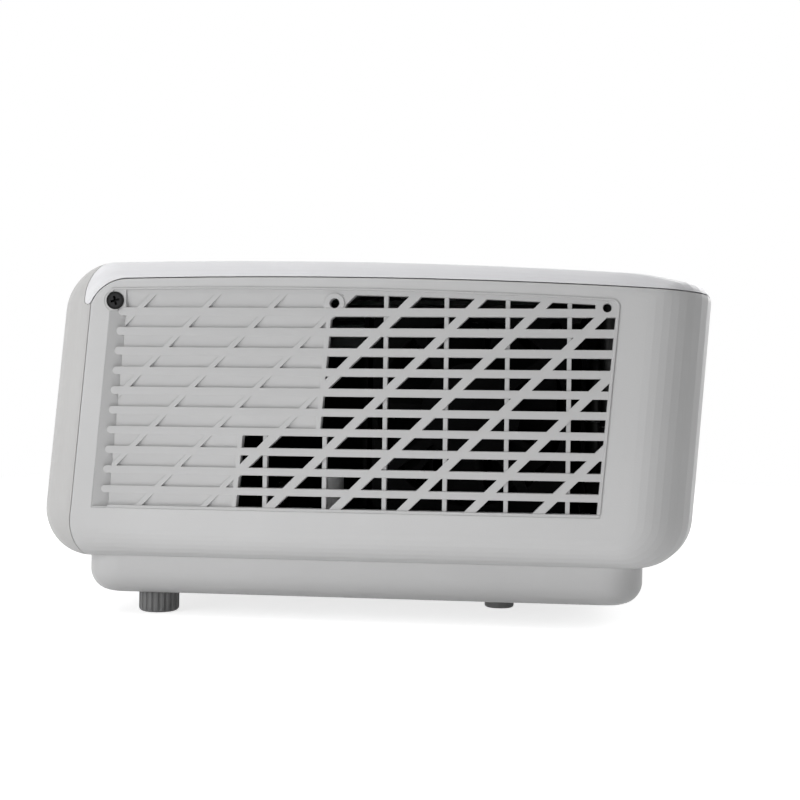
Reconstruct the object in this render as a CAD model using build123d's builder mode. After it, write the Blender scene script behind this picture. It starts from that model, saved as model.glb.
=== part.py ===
"""Projector with a built-in disc drive: casing, vent grille, light engine, disc tray and feet.

Frame: +Z up, the lens looks along -Y, the vent grille is on the +X side and the disc tray
opens along -X.  The origin is on the floor, under the centre of the casing.  Millimetres.
"""
import os
from math import cos, pi, radians, sin, sqrt, tan

from build123d import *

os.makedirs("parts", exist_ok=True)

# ---------------------------------------------------------------- casing sizes
overall_half = 125.0  # half width over the grille rim and the tray face
trim_proud = 0.3  # the rim and the tray face stand this far off the side skin
body_half = overall_half - trim_proud
wall = 2.4
seam_gap = 0.3  # between the cover and the housing
tail_gap = 0.12  # between the cover and the bezel
bezel_gap = 0.16  # between the bezel and the housing
fit_gap = 0.2  # a part that sits in a window or a recess
running_gap = 0.05  # a shaft in its bore
over = 1.0  # cuts run this far past a face
sink = 0.5  # a post is let into the wall it stands on

foot_height = 6.7  # plinth above the floor
plinth_depth = 11.7  # height of the plinth below the body
body_bottom = foot_height + plinth_depth
crown_top = 109.2  # highest point of the cover
crown_y = -39.6  # where it lies
crown_radius = 1900.0
front_foot_y = -103.38  # front face at the level of body_bottom
front_lean = 5.3  # degrees from upright, the top leans back
rear_foot_y = 96.05
rear_lean = 4.3

top_round = 5.5  # roundings of the side skin's four edges
front_round = 12.0
rear_round = 20.0
bottom_round = 9.0
front_top_corner = 16.0  # corners of the side view
front_bottom_corner = 14.5
rear_bottom_corner = 15.0
rear_top_corner = 4.8
shoulder_reach = 15.0  # the crown turns down to the rear from here
shoulder_drop = 2.1
shoulder_round = 70.0
least_corner = 1.5

plinth_front = -89.8
plinth_rear = 82.4
plinth_inset = 7.0
plinth_corner = 12.0
plinth_round = 7.0


def crown_z(y, drop=0.0):
    """Height of the cover's crown line at y, lowered by drop."""
    return crown_top - drop - crown_radius + sqrt(crown_radius**2 - (y - crown_y) ** 2)


def front_at(z):
    return front_foot_y + (z - body_bottom) * tan(radians(front_lean))


def rear_at(z):
    return rear_foot_y + (z - body_bottom) * tan(radians(rear_lean))


def rounding(depth, radius):
    """How far a rounded edge has drawn in at this depth from the side skin."""
    if depth >= radius:
        return 0.0
    return radius - sqrt(radius**2 - (radius - depth) ** 2)


def crown_corner(side_at, shift, drop):
    """Where a leaning end line meets the lowered crown."""
    y = side_at(crown_top) + shift
    for _ in range(4):
        y = side_at(crown_z(y, drop)) + shift
    return y, crown_z(y, drop)


def body_form(inset, depths):
    """The body's outer form, or with an inset the cavity inside it, lofted across X."""
    half = body_half - inset
    rounds = [max(r - inset, least_corner) for r in (top_round, front_round, rear_round, bottom_round)]
    stations = [(-half + d, d) for d in depths] + [(half - d, d) for d in reversed(depths)]
    with BuildPart() as form:
        for x, depth in stations:
            top, front, rear, bottom = [rounding(depth, r) for r in rounds]
            floor_z = body_bottom + inset + bottom
            front_low = (front_at(floor_z) + inset + front, floor_z)
            rear_low = (rear_at(floor_z) - inset - rear, floor_z)
            front_high = crown_corner(front_at, inset + front, inset + top)
            rear_high = crown_corner(rear_at, -inset - rear, inset + top + shoulder_drop)
            shoulder_y = rear_high[0] - shoulder_reach
            shoulder = (shoulder_y, crown_z(shoulder_y, inset + top))
            middle_y = (front_high[0] + shoulder_y) / 2
            corners = (
                (front_high, front_top_corner - inset - min(top, front)),
                (front_low, front_bottom_corner - inset - min(front, bottom)),
                (rear_low, rear_bottom_corner - inset - min(rear, bottom)),
                (rear_high, rear_top_corner - inset - min(top, rear)),
                (shoulder, shoulder_round),
            )
            with BuildSketch(Plane.YZ.offset(x)) as section:
                with BuildLine():
                    Polyline(front_high, front_low, rear_low, rear_high, shoulder)
                    ThreePointArc(shoulder, (middle_y, crown_z(middle_y, inset + top)), front_high)
                make_face()
                for (y, z), radius in corners:
                    vertex = section.vertices().sort_by_distance((y, z, 0))[0]
                    fillet(vertex, max(radius, least_corner))
        loft(ruled=True)
    return form.part


def crown_slab(high, low):
    """The layer between two lowered crown lines, over the whole width."""
    with BuildPart() as slab:
        with BuildSketch(Plane.YZ.offset(-body_half)):
            with BuildLine():
                ends = (-90.0, 90.0)
                ThreePointArc(*[(y, crown_z(y, high)) for y in (ends[0], 0.0, ends[1])])
                ThreePointArc(*[(y, crown_z(y, low)) for y in (ends[0], 0.0, ends[1])])
                Line((ends[0], crown_z(ends[0], high)), (ends[0], crown_z(ends[0], low)))
                Line((ends[1], crown_z(ends[1], high)), (ends[1], crown_z(ends[1], low)))
            make_face()
        extrude(amount=2 * body_half)
    return slab.part


def save(item, label):
    item.label = label
    export_step(item, f"parts/{label}.step")


# ---------------------------------------------------------------- seams, seen from the side
lip_top = crown_top - 5.2  # the cover's side edge at its highest
lip_y = -29.0
lip_radius = 2013.0
seam_low = (-90.5, 33.0)  # front seam: lower end of its straight run
seam_high = (-85.0, crown_top - 13.0)  # and its upper end
tail_width = 2.0  # the cover's tail at the front seam
tail_top = (-79.0, crown_top + 1.4)  # where the cover's front edge leaves the crown
tail_bend = (-86.3, crown_top - 7.6)
lip_start = -73.7  # the lip's line turns down into the tail here
seam_bend = (-90.6, 26.5)
seam_foot = (-88.0, 19.0)
bezel_low = body_bottom - 0.05  # the bezel ends on the plinth's shoulder
sky = crown_top + 20.8  # above and beyond the casing


def lip_at(y):
    """A point on the cover's side edge."""
    return y, lip_top - lip_radius + sqrt(lip_radius**2 - (y - lip_y) ** 2)


def cover_zone(grow):
    """What belongs to the top cover, seen from the side."""
    tail_front = (seam_high[0] - tail_width, seam_high[1] + 0.6)
    tail_tip = (seam_high[0] - tail_width / 2, seam_high[1] - 0.7)
    with BuildSketch() as zone:
        with BuildLine():
            ThreePointArc(tail_front, tail_bend, tail_top)
            Polyline(tail_top, (tail_top[0], sky), (sky, sky), lip_at(sky))
            lip = ThreePointArc(lip_at(sky), lip_at(0.0), lip_at(lip_start))
            TangentArc(lip @ 1, seam_high, tangent=lip % 1)
            ThreePointArc(seam_high, tail_tip, tail_front)
        make_face()
        if grow:
            offset(amount=grow)
    return zone.sketch


def bezel_zone(grow):
    """What lies in front of the housing's front seam, seen from the side."""
    top = (tail_top[0], sky)
    with BuildSketch() as zone:
        with BuildLine():
            Polyline(top, (tail_top[0], crown_top - 1.2), (seam_high[0], seam_high[1] + 4.0), seam_high)
            straight = Line(seam_high, seam_low)
            ThreePointArc(straight @ 1, seam_bend, seam_foot)
            Polyline(seam_foot, (seam_foot[0], bezel_low), (-sky, bezel_low), (-sky, sky), top)
        make_face()
        if grow:
            offset(amount=grow)
    return zone.sketch


def across(zone):
    """A side-view zone drawn out over the whole width."""
    with BuildPart() as block:
        with BuildSketch(Plane.YZ.offset(-overall_half - over)):
            add(zone)
        extrude(amount=2 * (overall_half + over))
    return block.part


outer_depths = [0.0, 0.12, 0.5, 1.15, 2.1, 3.5, 5.5, 8.0, 11.5, 20.0]
inner_depths = [0.0, 0.5, 1.6, 4.0, 9.0, 17.6]
outer_form = body_form(0.0, outer_depths)
cavity = body_form(wall, inner_depths)
cover_block = across(cover_zone(0.0))
cover_room = across(cover_zone(seam_gap))
bezel_block = across(bezel_zone(0.0))
bezel_room = across(bezel_zone(bezel_gap))
tail_room = across(cover_zone(tail_gap))

# ---------------------------------------------------------------- vent grille sizes
skin_x = body_half
rim_width = 0.6
rim_land = 0.35  # between the rim and the openings
rim_start = -10.0  # the rim runs rearwards from here
slat_sink = 0.35  # slat faces below the skin
rib_sink = 0.95
window_gap = 0.04  # round the grille in its window
grille_back = 3.2  # back of the grille below the skin
groove_depth = 2.4
floor_sink = 0.9  # blind louvre floor below the slat face, at its deep edge
field_bottom = 33.8
field_drop = 8.4  # field's top edge below the crown
row_drop = 10.4  # top of the first row of openings below the crown
field_corner = 2.5
flange_width = 1.6
flange_thickness = 1.0
slat_pitch = 6.0
slat_height = 2.5  # the top slat
slat_taper = 0.03  # each is this much lower than the one above
slat_count = 10
first_slat_top = crown_top - 14.6
left_wall = (-79.1, 91.2)
left_lean = 4.84
right_edge = (74.0, 97.1)
right_lean = 4.74
slat_overhang = 2.5
groove_width = 5.0
groove_rise = -0.9  # groove's top from the first slat's
groove_foot = 0.4  # groove's foot above the field's lower edge
groove_edge = 0.05  # keeps the groove's wall off the outline
rib_first = -30.6
rib_pitch = 18.0
rib_count = 6
rib_width = 1.3
bar_pitch = 20.05
bar_count = 16
bar_width = 3.6  # along the slats
blind_bar_width = 2.1
bar_base = -63.9  # a bar's y less its height
open_high = (-11.3, crown_top - 20.6)  # where the openings begin: upper rows
open_low = (-38.1, 48.0)  # and the four lowest rows
low_rows = 4
row_count = slat_count + 1
frame_edge = 0.9
screw_y = -77.3
screw_z = crown_top - 12.6
screw_head_radius = 2.7
screw_shank_radius = 1.5
screw_seat_radius = 3.4
boss_y = -10.0
boss_z = crown_top - 13.2
boss_radius = 3.4
boss_hole = 1.5
pad_y = 70.2
pad_z = crown_top - 14.3
pad_left = 66.8
pad_slope = 0.5  # how the first row's end leans
pad_hole = 1.3
boss_step = 0.4  # width of the ring on the guide boss
seat_slope = 2.2  # slant at the top of the corner round the screw
left_strip = 0.8  # skin-high strip along the groove
deep = 5.0  # half depth of the tools that clear the louvre cuts


def left_at(z, shift=0.0):
    return left_wall[0] + shift + (z - left_wall[1]) * tan(radians(left_lean))


def right_at(z, shift=0.0):
    return right_edge[0] + shift + (z - right_edge[1]) * tan(radians(right_lean))


def open_at(point, z):
    return point[0] + (z - point[1]) * tan(radians(left_lean))


def grille_outline(grow):
    """The vent field's outline with the ear round its screw."""
    top_left = crown_corner(left_at, 0.0, field_drop)
    top_right = crown_corner(right_at, 0.0, field_drop)
    with BuildSketch() as outline:
        with BuildLine():
            Polyline(
                top_left,
                (left_at(field_bottom), field_bottom),
                (right_at(field_bottom), field_bottom),
                top_right,
            )
            ThreePointArc(top_right, (0.0, crown_z(0.0, field_drop)), top_left)
        make_face()
        fillet(outline.vertices().sort_by_distance((*top_right, 0))[0], field_corner)
        with Locations((screw_y, screw_z)):
            Circle(screw_seat_radius)
        if grow:
            offset(amount=grow)
    return outline.sketch


def slat_top(n):
    """Top edge of slat n, counted from 1 at the top."""
    return first_slat_top - slat_pitch * (n - 1)


def slat_low(n):
    return slat_top(n) - slat_height + slat_taper * (n - 1)


def row_span(n):
    """Lower and upper edge of row n of the openings."""
    low = slat_top(n)
    high = slat_low(n - 1)
    if n == row_count:
        low = field_bottom + frame_edge
    return low, high


def bars(width):
    """The diagonal bars, each a slanted strip."""
    low = field_bottom - 5
    high = crown_top
    with BuildSketch() as strips:
        for j in range(bar_count):
            y = bar_base + bar_pitch * (j - bar_count // 2)
            with BuildLine():
                Polyline(
                    (y + low - width / 2, low),
                    (y + low + width / 2, low),
                    (y + high + width / 2, high),
                    (y + high - width / 2, high),
                    close=True,
                )
            make_face()
    return strips.sketch


def row_face(n, left, right):
    """One row's band between two leaning ends; the first row follows the crown."""
    low, high = row_span(n)
    with BuildSketch() as band:
        with BuildLine():
            if n == 1:
                start = (left(low), crown_z(left(low), row_drop))
                end = (right(low), crown_z(right(low), row_drop))
                middle = (start[0] + end[0]) / 2
                Polyline(start, (left(low), low), (right(low), low), end)
                ThreePointArc(end, (middle, crown_z(middle, row_drop)), start)
            else:
                Polyline(
                    (left(low), low), (right(low), low), (right(high), high), (left(high), high), close=True
                )
        make_face()
    return band.sketch


def seat_block():
    """The skin-high corner round the screw."""
    high = crown_top - field_drop + over
    slat_start = left_at(slat_top(1), groove_width - slat_overhang)
    edge = screw_y + screw_seat_radius
    with BuildSketch() as block:
        with BuildLine():
            Polyline(
                (left_at(high, -over), high),
                (left_at(high, -over), slat_top(1) + groove_rise),
                (slat_start, slat_top(1) + groove_rise),
                (slat_start, slat_top(1)),
                (edge, slat_top(1)),
                (edge, high - seat_slope),
                (edge + seat_slope, high),
                close=True,
            )
        make_face()
    return block.sketch


def slat_field():
    """The part of the vent field that lies below the skin."""
    with BuildSketch() as field:
        add(grille_outline(over))
        with Locations((0.0, field_bottom + frame_edge)):
            Rectangle(2 * overall_half, overall_half, align=(Align.CENTER, Align.MAX), mode=Mode.SUBTRACT)
        with BuildLine():
            Polyline(
                (left_at(0.0, -groove_width), 0.0),
                (left_at(sky, -groove_width), sky),
                (left_at(sky, left_strip), sky),
                (left_at(0.0, left_strip), 0.0),
                close=True,
            )
        make_face(mode=Mode.SUBTRACT)
    return field.sketch


def open_start(n):
    point = open_low if n > row_count - low_rows else open_high
    return lambda z: open_at(point, z)


def hole_right(n):
    if n == 1:
        return lambda z: pad_left + pad_slope * (z - slat_top(1))
    return lambda z: right_at(z, -rim_width - rim_land)


# ---------------------------------------------------------------- vent grille
slat_x = skin_x - slat_sink
rib_x = skin_x - rib_sink
back_x = skin_x - grille_back

with BuildPart() as louvre_cuts:
    for n in range(1, row_count + 1):
        low, high = row_span(n)
        if n == 1:
            high = crown_z(crown_y, row_drop)
        start = left_at(low, groove_width)
        finish = open_start(n)(low) - rib_width
        with BuildSketch(Plane.XZ.offset(-start)):
            with BuildLine():
                Polyline(
                    (slat_x, high), (slat_x - floor_sink, low), (skin_x, low), (skin_x, high), close=True
                )
            make_face()
        extrude(amount=-(finish - start))
    with BuildSketch(Plane.YZ.offset(slat_x - deep)):
        add(bars(blind_bar_width))
        add(seat_block())
        with Locations((boss_y, boss_z)):
            Circle(boss_radius)
    extrude(amount=2 * deep, mode=Mode.SUBTRACT)

groove_low = field_bottom + groove_foot
groove_high = slat_top(1) + groove_rise
with BuildPart() as groove:
    for z in (groove_low, groove_high):
        wall_y = left_at(z, groove_edge)
        floor_y = left_at(z, groove_width)
        with BuildSketch(Plane.XY.offset(z)):
            with BuildLine():
                Polyline(
                    (skin_x + over, wall_y),
                    (skin_x, wall_y),
                    (skin_x - groove_depth, floor_y),
                    (skin_x + over, floor_y),
                    close=True,
                )
            make_face()
    loft(ruled=True)
    for n in range(1, slat_count + 1):
        height = slat_top(n) - slat_low(n)
        middle = slat_top(n) - height / 2
        start = left_at(middle, groove_width - slat_overhang)
        with BuildSketch(Plane.YZ.offset(slat_x)):
            with Locations((start + deep + height / 2, middle)):
                SlotOverall(2 * deep + height, height)
        extrude(amount=-deep, mode=Mode.SUBTRACT)

with BuildPart() as side_grille:
    with BuildSketch(Plane.YZ.offset(back_x)):
        add(grille_outline(0.0))
    extrude(amount=slat_x - back_x)
    with BuildSketch(Plane.YZ.offset(skin_x - wall - fit_gap)):
        add(grille_outline(flange_width))
    extrude(amount=-flange_thickness)
    # rim along the rear edge and the top
    with BuildSketch(Plane.YZ.offset(slat_x)):
        add(grille_outline(0.0))
        add(grille_outline(-rim_width), mode=Mode.SUBTRACT)
        with Locations((rim_start, field_bottom)):
            Rectangle(overall_half, sky, align=(Align.MAX, Align.CENTER), mode=Mode.SUBTRACT)
        with Locations((0.0, field_bottom)):
            Rectangle(2 * overall_half, 2 * rim_width + over, mode=Mode.SUBTRACT)
    extrude(amount=overall_half - slat_x)
    # skin-high margins at the groove, along the foot and round the screw
    with BuildSketch(Plane.YZ.offset(slat_x)):
        add(grille_outline(0.0))
        add(slat_field(), mode=Mode.SUBTRACT)
        add(seat_block())
        add(grille_outline(0.0), mode=Mode.INTERSECT)
    extrude(amount=skin_x - slat_x)
    # open cells
    with BuildSketch(Plane.YZ.offset(back_x - 2 * over)):
        for n in range(1, row_count + 1):
            add(row_face(n, open_start(n), hole_right(n)))
        add(bars(bar_width), mode=Mode.SUBTRACT)
        with Locations((boss_y, boss_z)):
            Circle(boss_radius, mode=Mode.SUBTRACT)
    extrude(amount=grille_back + 3 * over, mode=Mode.SUBTRACT)
    # upright ribs behind the slats
    with BuildSketch(Plane.YZ.offset(back_x)):
        for i in range(rib_count):
            y = rib_first + rib_pitch * i
            low_z = field_bottom + frame_edge
            high_z = crown_z(y, row_drop)
            if y < open_high[0]:
                high_z = slat_top(row_count - low_rows)
            with Locations((y, (low_z + high_z) / 2)):
                Rectangle(rib_width, high_z - low_z)
    extrude(amount=rib_x - back_x)
    add(louvre_cuts.part, mode=Mode.SUBTRACT)
    add(groove.part, mode=Mode.SUBTRACT)
    # screw hole, guide boss above the first slat and the two guide holes
    with BuildSketch(Plane.YZ.offset(slat_x)):
        with Locations((boss_y, boss_z)):
            Circle(boss_radius - boss_step)
        with Locations((boss_y, slat_top(1))):
            Rectangle(4 * boss_radius, 2 * boss_radius, align=(Align.CENTER, Align.MAX), mode=Mode.SUBTRACT)
    extrude(amount=slat_sink)
    with BuildSketch(Plane.YZ.offset(back_x - 2 * over)):
        with Locations((boss_y, boss_z)):
            Circle(boss_hole)
        with Locations((pad_y, pad_z)):
            Circle(pad_hole)
        with Locations((screw_y, screw_z)):
            Circle(screw_shank_radius + fit_gap)
    extrude(amount=grille_back + 4 * over, mode=Mode.SUBTRACT)
save(side_grille.part, "side_grille")

# ---------------------------------------------------------------- inside layout sizes
plinth_floor = foot_height + wall
ledge_z = body_bottom + wall
inner_x = body_half - wall  # inner face of the side skin

drive_half_y = 64.5  # slim disc drive
drive_bottom = crown_top - 24.7
drive_height = 12.7
drive_front = -body_half + 3.7
sheet = 0.8
tray_half_y = 62.2
tray_bottom = drive_bottom + 1.5
tray_top = tray_bottom + 8.6
tray_face_thickness = 3.3
tray_face_half_y = 64.0
tray_face_low = drive_bottom + 0.8
tray_face_high = drive_bottom + 12.4
tray_slot_gap = 0.5
disc_x = drive_front + 61.0
drive_back = disc_x + 69.0
disc_recess_radius = 60.5
disc_recess = 1.6
rail_width = 0.9

lens_x = -40.0
lens_z = 56.5
lens_trim_radius = 31.0
lens_trim_bore = 28.8
sleeve_bore = 21.0
sleeve_radius = 23.5
ring_radius = 26.4
ring_front = -92.0
ring_length = 15.0
ring_ribs = 48
engine_front = -36.0
engine_rear = 64.0
engine_left = -90.0
engine_bottom = 30.0
engine_top = drive_bottom - 1.5
engine_wall = 2.0
axis_y = 14.0  # light path from the lamp to the mirror

sink_high = crown_top - 15.2
fan_size = 60.0
fan_depth = 15.0
fan_x = body_half - 28.7
fan_y = 30.0
fan_z = sink_high - fan_size / 2  # flush with the top of the heat sink
fan_bore = 28.6
fan_blades = 7
sink_x = fan_x - 32.0
engine_right = sink_x - 6.0
sink_fins = 14
sink_width = 70.0
sink_low = 34.0

panel_low = 35.4
panel_high = 50.0
panel_left = -34.0
panel_right = 60.0
board_thickness = 1.6
main_board_z = 35.0
socket_mouth = 96.4
inlet_x = body_half - 38.7
inlet_z = 40.0
inlet_width = 26.0
inlet_height = 18.0

knob_x = body_half - 20.7
knob_y = -68.6
knob_radius = 6.3
knob_ribs = 20
knob_recess = 3.0
stud_radius = 3.0
stud_length = 15.0
pad_x = body_half - 49.7
pad_foot_y = 38.0
pad_foot_radius = 4.8
pad_foot_round = 0.8
bush_radius = 5.0
bush_bore = 2.6
bush_length = 9.0

post_radius = 4.0
thin_post_radius = 3.0
post_joint_z = 60.0
post_screw_radius = 1.5
front_post = (knob_x - 8.5, -76.5)
rear_post = (body_half - 16.7, 73.0)
post_places = [(side * x, y) for side in (-1, 1) for x, y in (front_post, rear_post)]

speaker_y = 44.0
speaker_z = 53.0
speaker_radius = 19.0
slot_height = 3.1
slot_rows = 6
slot_length = 2 * speaker_radius + 4
intake_columns = 9
intake_x = -body_half + 26.7  # first column of the rear intake
intake_z = 64.0
intake_length = 40.0
rear_cut_depth = 16.0  # tools that cut the leaning rear wall
rear_cut_start = rear_foot_y - 6.0

key_x = body_half - 62.7
key_y = 6.0
key_gap = 0.25
key_travel = 0.8
ok_radius = 7.5
arrow_inner = 9.0
arrow_outer = 18.0
arrow_half_angle = 38.0
round_key_radius = 5.5
key_board_z = crown_top - 10.6
key_board_thickness = 1.2
switch_height = 0.8


def box_between(low, high):
    """A block from its lowest to its highest corner."""
    size = [b - a for a, b in zip(low, high)]
    return Pos(*low) * Box(*size, align=(Align.MIN, Align.MIN, Align.MIN), mode=Mode.PRIVATE)


def rod(radius, start, end):
    """A round bar between two points on one axis."""
    line = Vector(*end) - Vector(*start)
    return Plane(origin=start, z_dir=line) * Cylinder(
        radius, line.length, align=(Align.CENTER, Align.CENTER, Align.MIN), mode=Mode.PRIVATE
    )


# ---------------------------------------------------------------- housing
engine_posts = [(-72.0, -30.0), (50.0, -30.0), (50.0, 58.0), (16.0, 58.0)]
board_posts = [(-70.0, 72.0), (50.0, 72.0), (-70.0, 88.5), (50.0, 88.5)]
power_posts = [(16.0, -74.0), (84.0, -74.0), (16.0, -46.0), (84.0, -46.0)]
power_board_z = 24.2
ledge_rise = 2.5  # the rear posts stand on the curved ledge
fan_post = (fan_x + 8.0, fan_y - fan_size / 2 - 13.0)
fan_post_radius = 3.2
fan_post_top = 45.5
bracket_front = -84.4
bracket_sheet = 2.6
bracket_low = screw_z - 12.6
bracket_high = screw_z - 3.6
bracket_reach = 10.0
boss_reach = 8.0
screw_length = 12.0
screw_recess = 2.0  # base screw heads sit this deep in the plinth
socket_wall = 2.4
socket_reach = 4.5
knob_clearance = 0.8
stud_end_gap = 0.5
bush_wall = 3.0

with BuildPart() as lower_housing:
    add(outer_form)
    with BuildSketch(Plane.XY.offset(foot_height)):
        with Locations((0, (plinth_front + plinth_rear) / 2)):
            RectangleRounded(2 * (body_half - plinth_inset), plinth_rear - plinth_front, plinth_corner)
    plinth = extrude(amount=plinth_depth + bottom_round, mode=Mode.PRIVATE)
    with BuildPart(mode=Mode.PRIVATE) as plinth_block:
        add(plinth)
        fillet(plinth_block.faces().sort_by(Axis.Z)[0].edges(), plinth_round)
    add(plinth_block.part)
    add(cavity, mode=Mode.SUBTRACT)
    with BuildSketch(Plane.XY.offset(plinth_floor)):
        with Locations((0, (plinth_front + plinth_rear) / 2)):
            RectangleRounded(
                2 * (body_half - plinth_inset - wall),
                plinth_rear - plinth_front - 2 * wall,
                plinth_corner - wall,
            )
    extrude(amount=plinth_depth + bottom_round, mode=Mode.SUBTRACT)
    add(cover_room, mode=Mode.SUBTRACT)
    add(bezel_room, mode=Mode.SUBTRACT)
    # window for the vent grille
    with BuildSketch(Plane.YZ.offset(inner_x - over)):
        add(grille_outline(window_gap))
    extrude(amount=wall + 2 * over, mode=Mode.SUBTRACT)
    # tray slot
    add(
        box_between(
            (-body_half - over, -tray_face_half_y - tray_slot_gap, tray_face_low - tray_slot_gap),
            (-inner_x + over, tray_face_half_y + tray_slot_gap, tray_face_high + tray_slot_gap),
        ),
        mode=Mode.SUBTRACT,
    )
    # speaker slots in the tray side
    with BuildSketch(Plane.YZ.offset(-body_half - over)):
        for side in (-1, 1):
            for row in range(slot_rows):
                with Locations((side * speaker_y, speaker_z + slat_pitch * (row - (slot_rows - 1) / 2))):
                    SlotOverall(slot_length, slot_height)
    extrude(amount=wall + 2 * over, mode=Mode.SUBTRACT)
    # intake slots and the socket windows in the rear wall
    with BuildSketch(Plane.XZ.offset(-rear_cut_start)):
        for column in range(intake_columns):
            with Locations((intake_x + slat_pitch * column, intake_z)):
                SlotOverall(intake_length, slot_height, rotation=90)
        with Locations(((panel_left + panel_right) / 2, (panel_low + panel_high) / 2)):
            Rectangle(panel_right - panel_left + 2 * fit_gap, panel_high - panel_low + 2 * fit_gap)
        with Locations((inlet_x, inlet_z)):
            Rectangle(inlet_width + 2 * fit_gap, inlet_height + 2 * fit_gap)
    extrude(amount=-rear_cut_depth, mode=Mode.SUBTRACT)
    # posts under the boards and the light engine
    for places, top in ((engine_posts, engine_bottom), (power_posts, power_board_z)):
        with BuildSketch(Plane.XY.offset(plinth_floor - sink)):
            with Locations(*places):
                Circle(post_radius)
        extrude(amount=top - plinth_floor + sink)
    with BuildSketch(Plane.XY.offset(plinth_floor - sink)):
        with Locations(*board_posts[:2]):
            Circle(post_radius)
    extrude(amount=main_board_z - plinth_floor + sink)
    with BuildSketch(Plane.XY.offset(ledge_z + ledge_rise)):
        with Locations(*board_posts[2:]):
            Circle(thin_post_radius)
    extrude(amount=main_board_z - ledge_z - ledge_rise)
    # fan post behind the lower openings
    with BuildSketch(Plane.XY.offset(plinth_floor - sink)):
        with Locations(fan_post):
            Circle(fan_post_radius)
    extrude(amount=fan_post_top - plinth_floor + sink)
    # screw posts that meet those of the cover
    with BuildSketch(Plane.XY.offset(plinth_floor - sink)):
        with Locations(*post_places):
            Circle(post_radius)
    extrude(amount=post_joint_z - plinth_floor + sink)
    with BuildSketch(Plane.XY.offset(foot_height - over)):
        with Locations(*post_places):
            Circle(post_screw_radius + fit_gap)
    extrude(amount=post_joint_z, mode=Mode.SUBTRACT)
    with BuildSketch(Plane.XY.offset(foot_height - over)):
        with Locations(*post_places):
            Circle(screw_head_radius + fit_gap)
    extrude(amount=screw_recess + over, mode=Mode.SUBTRACT)
    # bracket and boss behind the grille screw
    bracket_corner = (inner_x - bracket_reach, bracket_front, bracket_low)
    add(box_between(bracket_corner, (inner_x + fit_gap, bracket_front + bracket_sheet, bracket_high)))
    add(box_between(bracket_corner, (inner_x - wall, screw_y, screw_z)))
    screw_axis = (screw_y, screw_z)
    add(rod(screw_seat_radius, (inner_x - boss_reach, *screw_axis), (back_x - flange_thickness, *screw_axis)))
    add(
        rod(screw_shank_radius + running_gap, (inner_x - screw_length, *screw_axis), (skin_x, *screw_axis)),
        mode=Mode.SUBTRACT,
    )
    # foot sockets
    for side in (-1, 1):
        with BuildSketch(Plane.XY.offset(plinth_floor - sink)):
            with Locations((side * knob_x, knob_y)):
                Circle(knob_radius + socket_wall)
        extrude(amount=ledge_z + socket_reach + sink - plinth_floor)
        with BuildSketch(Plane.XY.offset(foot_height - over)):
            with Locations((side * knob_x, knob_y)):
                Circle(knob_radius + knob_clearance)
        extrude(amount=knob_recess + over, mode=Mode.SUBTRACT)
        with BuildSketch(Plane.XY.offset(foot_height)):
            with Locations((side * knob_x, knob_y)):
                Circle(stud_radius + running_gap)
        extrude(amount=knob_recess + stud_length + stud_end_gap, mode=Mode.SUBTRACT)
    # boss for the stand bush
    with BuildSketch(Plane.XY.offset(plinth_floor - sink)):
        Circle(bush_radius + bush_wall)
    extrude(amount=bush_length + 2 * over)
    with BuildSketch(Plane.XY.offset(foot_height - over)):
        Circle(bush_radius)
    extrude(amount=bush_length + over, mode=Mode.SUBTRACT)
save(lower_housing.part, "lower_housing")

# ---------------------------------------------------------------- keys, in plan
power_shift = (0.0, -36.0)  # the other keys' places from the middle key
source_shift = (-13.0, 34.0)
menu_shift = (13.0, 34.0)
power_key_radius = 7.0
arrow_turns = {"right_key": 0, "rear_key": 90, "left_key": 180, "front_key": 270}


def arrow_face(turn, grow):
    """A quarter of the ring of arrow keys."""
    reach = 2 * arrow_outer
    half = radians(arrow_half_angle)
    with BuildSketch() as face:
        Circle(arrow_outer + grow)
        Circle(arrow_inner - grow, mode=Mode.SUBTRACT)
        with BuildLine():
            Polyline(
                (-grow * 2, 0),
                (reach * cos(half), reach * sin(half) + grow),
                (reach * cos(half), -reach * sin(half) - grow),
                close=True,
            )
        make_face(mode=Mode.INTERSECT)
    return Rot(0, 0, turn) * face.sketch


def round_face(radius, grow):
    with BuildSketch() as face:
        Circle(radius + grow)
    return face.sketch


def key_faces(grow):
    """Each key's outline by name, placed on the cover."""
    faces = {"ok_key": round_face(ok_radius, grow)}
    for name, turn in arrow_turns.items():
        faces[name] = arrow_face(turn, grow)
    faces["power_key"] = Pos(*power_shift) * round_face(power_key_radius, grow)
    faces["source_key"] = Pos(*source_shift) * round_face(round_key_radius, grow)
    faces["menu_key"] = Pos(*menu_shift) * round_face(round_key_radius, grow)
    return {name: Pos(key_x, key_y) * face for name, face in faces.items()}


def key_middle(name):
    """Where a key's plunger stands."""
    ring = (arrow_inner + arrow_outer) / 2
    shifts = {
        name: (ring * cos(radians(turn)), ring * sin(radians(turn))) for name, turn in arrow_turns.items()
    }
    shifts.update(ok_key=(0, 0), power_key=power_shift, source_key=source_shift, menu_key=menu_shift)
    return key_x + shifts[name][0], key_y + shifts[name][1]


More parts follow.
